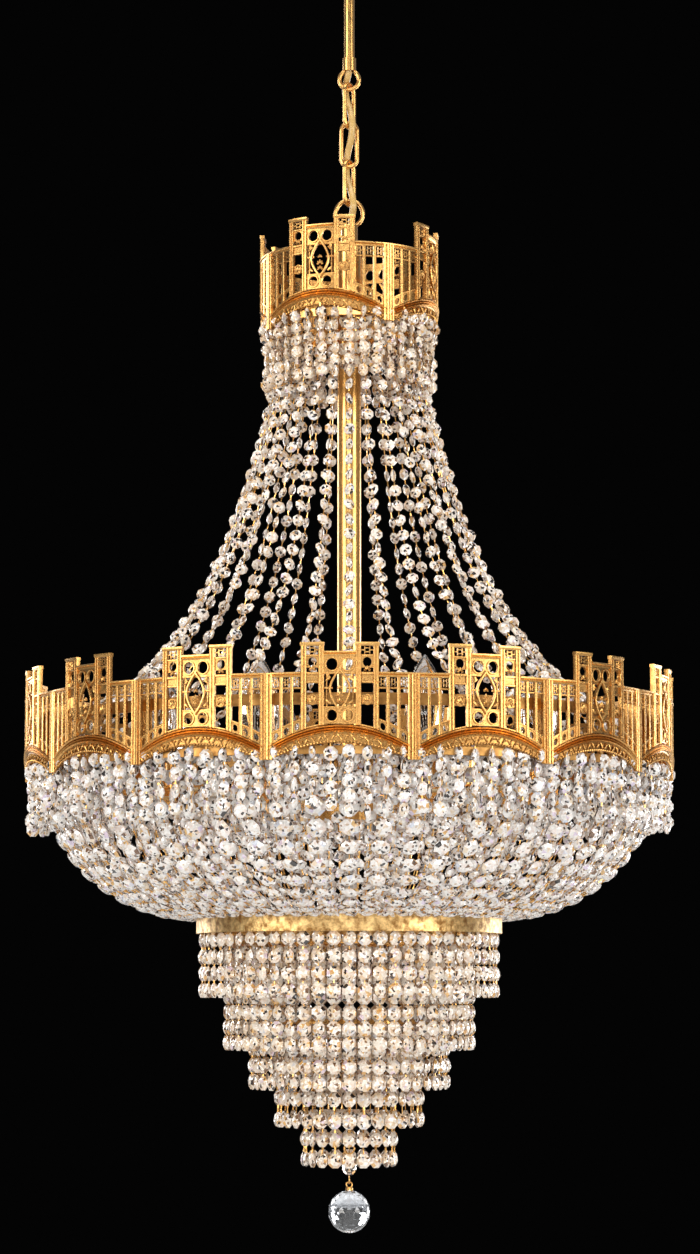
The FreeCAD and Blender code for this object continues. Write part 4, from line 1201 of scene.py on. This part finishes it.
class CHANDELIER_OT_cord(bpy.types.Operator):
    """Lays the power cord through the stem, the links and the rod"""
    bl_idname = "chandelier.cord"
    bl_label = "Power cord"

    def execute(self, context):
        turn = math.radians(CORD_TURN)
        away = Vector((math.cos(turn), math.sin(turn), 0)) * CORD_AWAY
        guides = [Vector((0, 0, z)) for z in CORD_STEM]
        for z in LINK_BEARINGS:
            guides.append(away + Vector((0, 0, z)))
            away = -away
        guides += [Vector((0, 0, CORD_NECK)), Vector((0, 0, high("terminal_block").z + 0.012))]
        line = curve_points(guides)
        jacket = plain("Cord jacket", (0.62, 0.40, 0.13), 0.25)
        for i, z in enumerate(LINK_BEARINGS):
            upper = 0.0 if i == 0 else (LINK_BEARINGS[i - 1] + z) / 2
            lower = -2.0 if i == 3 else (z + LINK_BEARINGS[i + 1]) / 2
            points = [p for p in line if p.z > upper][-1:]
            points += [p for p in line if lower <= p.z <= upper]
            name = "cord_%d" % (i + 1)
            ob = new_object(tube(points, CORD_RADIUS, CORD_SIDES, name), name, jacket, smooth=50)
            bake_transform(ob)
            if i == 0:
                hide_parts("power_cord")
        return {"FINISHED"}


# ------------------------------------------------------------------ finishes and stage
class CHANDELIER_OT_finishes(bpy.types.Operator):
    """Gives the carried-over parts their metal, plastic and sleeve finishes"""
    bl_idname = "chandelier.finishes"
    bl_label = "Finishes"

    def execute(self, context):
        c = colours()
        kinds = {"gilt_brass": gilt(), "zinc_steel": steel(),
                 "terminal_block": plain("Terminal block", (0.8, 0.8, 0.78), 0.5),
                 "lead_sleeve": plain("Woven sleeve", (0.62, 0.5, 0.3), 0.8, 600.0)}
        hammered = metal("Hammered gilt", (1.0, 0.68, 0.29), c.gilt_dark_and_shade, scale=160.0,
                         rough=(0.30, 0.46), bump=0.9, bump_scale=520.0)
        satin = metal("Satin gilt", blend_of(c.gilt, c.gilt_dark_and_shade, 0.45), c.gilt_dark_and_shade,
                      rough=(0.42, 0.55))
        own = {"basket_ring": hammered, "lower_hoop": satin, "inner_hoop": satin}
        slots = {p["node"]: p["material_slot"] for p in frame["record"]["subparts"]}
        for node, ob in frame["nodes"].items():
            look = own.get(node, kinds.get(slots[node]))
            if look:
                ob.data.materials.clear()
                ob.data.materials.append(look)
        return {"FINISHED"}


SOFTBOXES = [                # name, place, width, height, watts, colour
    ("key_left", (-2.5, -2.0, -0.1), 1.5, 2.2, 66, (1.0, 0.96, 0.9)),
    ("key_right", (2.6, -1.9, -0.3), 1.4, 2.2, 60, (1.0, 0.97, 0.93)),
    ("front_low", (0.2, -3.0, -1.5), 1.8, 0.7, 13, (1, 1, 1)),
    ("front_high", (-0.2, -3.2, 0.3), 2.0, 0.5, 17, (1, 1, 1)),
    ("front_fill", (0.0, -4.6, -0.7), 2.4, 2.4, 14, (1.0, 0.95, 0.88)),
    ("back_left", (-1.9, 2.3, -0.2), 1.0, 1.8, 42, (1, 1, 1)),
    ("back_right", (2.0, 2.2, -0.9), 1.0, 1.8, 42, (1, 1, 1)),
    ("top", (0.0, -0.3, 1.3), 1.8, 1.8, 28, (1, 1, 1)),
]
MIDDLE = Vector((0, 0, -0.75))           # where the softboxes point
BACKDROP = (0.0012, 0.0012, 0.0012, 1)   # what the camera sees behind the object
ROOM_LIGHT = (0.9, 0.92, 1.0, 1)
ROOM_STRENGTH = 0.24


class CHANDELIER_OT_stage(bpy.types.Operator):
    """Sets the pale floor, the soft lights and the camera"""
    bl_idname = "chandelier.stage"
    bl_label = "Stage"

    def floor(self):
        bm = bmesh.new()
        bmesh.ops.create_grid(bm, x_segments=1, y_segments=1, size=6.0)
        bmesh.ops.translate(bm, vec=(0, 0, sizes().floor_level), verts=bm.verts)
        pale = plain("Pale floor", colours().floor, 0.6, 3.0)
        see_through_from_below(pale)
        ob = new_object(to_mesh(bm, "floor"), "floor", pale)

    def room(self, scene):
        """A soft light from all around, with a dark backdrop, also behind clear glass."""
        scene.world = bpy.data.worlds.new("Room")
        scene.world.use_nodes = True
        n, l = scene.world.node_tree.nodes, scene.world.node_tree.links
        light = n["Background"]
        light.inputs["Color"].default_value = ROOM_LIGHT
        light.inputs["Strength"].default_value = ROOM_STRENGTH
        seen = n.new("ShaderNodeBackground")
        seen.inputs["Color"].default_value = BACKDROP
        path = n.new("ShaderNodeLightPath")
        either = n.new("ShaderNodeMath")
        either.operation = "MAXIMUM"
        mix = n.new("ShaderNodeMixShader")
        l.new(path.outputs["Is Camera Ray"], either.inputs[0])
        l.new(path.outputs["Is Transmission Ray"], either.inputs[1])
        l.new(either.outputs[0], mix.inputs["Fac"])
        l.new(light.outputs[0], mix.inputs[1])
        l.new(seen.outputs[0], mix.inputs[2])
        l.new(mix.outputs[0], n["World Output"].inputs["Surface"])

    def softboxes(self, scene):
        for name, place, width, height, watts, colour in SOFTBOXES:
            lamp = bpy.data.lights.new(name, "AREA")
            lamp.shape = "RECTANGLE"
            lamp.size, lamp.size_y, lamp.energy, lamp.color = width, height, watts, colour
            ob = bpy.data.objects.new(name, lamp)
            ob.location = place
            ob.rotation_euler = (MIDDLE - Vector(place)).to_track_quat("-Z", "Y").to_euler()
            scene.collection.objects.link(ob)

    def camera(self, scene):
        s = sizes()
        cam = bpy.data.cameras.new("camera")
        cam.sensor_fit = "VERTICAL"
        cam.sensor_height = 36.0
        cam.lens = s.camera_lens
        ob = bpy.data.objects.new("camera", cam)
        ob.location = (s.camera_side, -s.camera_distance, s.camera_level)
        ob.rotation_euler = (math.pi / 2 + s.camera_pitch, 0, 0)
        scene.collection.objects.link(ob)
        scene.camera = ob

    def execute(self, context):
        context.scene.view_settings.view_transform = "Standard"
        self.floor()
        self.room(context.scene)
        self.softboxes(context.scene)
        self.camera(context.scene)
        return {"FINISHED"}


class CHANDELIER_PT_panel(bpy.types.Panel):
    bl_label = "Chandelier"
    bl_idname = "CHANDELIER_PT_panel"
    bl_space_type = "VIEW_3D"
    bl_region_type = "UI"
    bl_category = "Chandelier"

    def draw(self, context):
        for cls in STEPS:
            self.layout.operator(cls.bl_idname)


STEPS = [
    CHANDELIER_OT_finishes, CHANDELIER_OT_crowns, CHANDELIER_OT_sweep, CHANDELIER_OT_basket,
    CHANDELIER_OT_tiers, CHANDELIER_OT_lamps, CHANDELIER_OT_drop, CHANDELIER_OT_cord,
    CHANDELIER_OT_stage,
]
CLASSES = [ChandelierSizes, ChandelierColours] + STEPS + [CHANDELIER_PT_panel]


def register():
    for cls in CLASSES:
        bpy.utils.register_class(cls)
    bpy.types.Scene.chandelier_sizes = bpy.props.PointerProperty(type=ChandelierSizes)
    bpy.types.Scene.chandelier_colours = bpy.props.PointerProperty(type=ChandelierColours)


def unregister():
    del bpy.types.Scene.chandelier_colours
    del bpy.types.Scene.chandelier_sizes
    for cls in reversed(CLASSES):
        bpy.utils.unregister_class(cls)


def main():
    register()
    for cls in STEPS:
        group, name = cls.bl_idname.split(".")
        getattr(getattr(bpy.ops, group), name)()


if __name__ == "__main__":
    main()
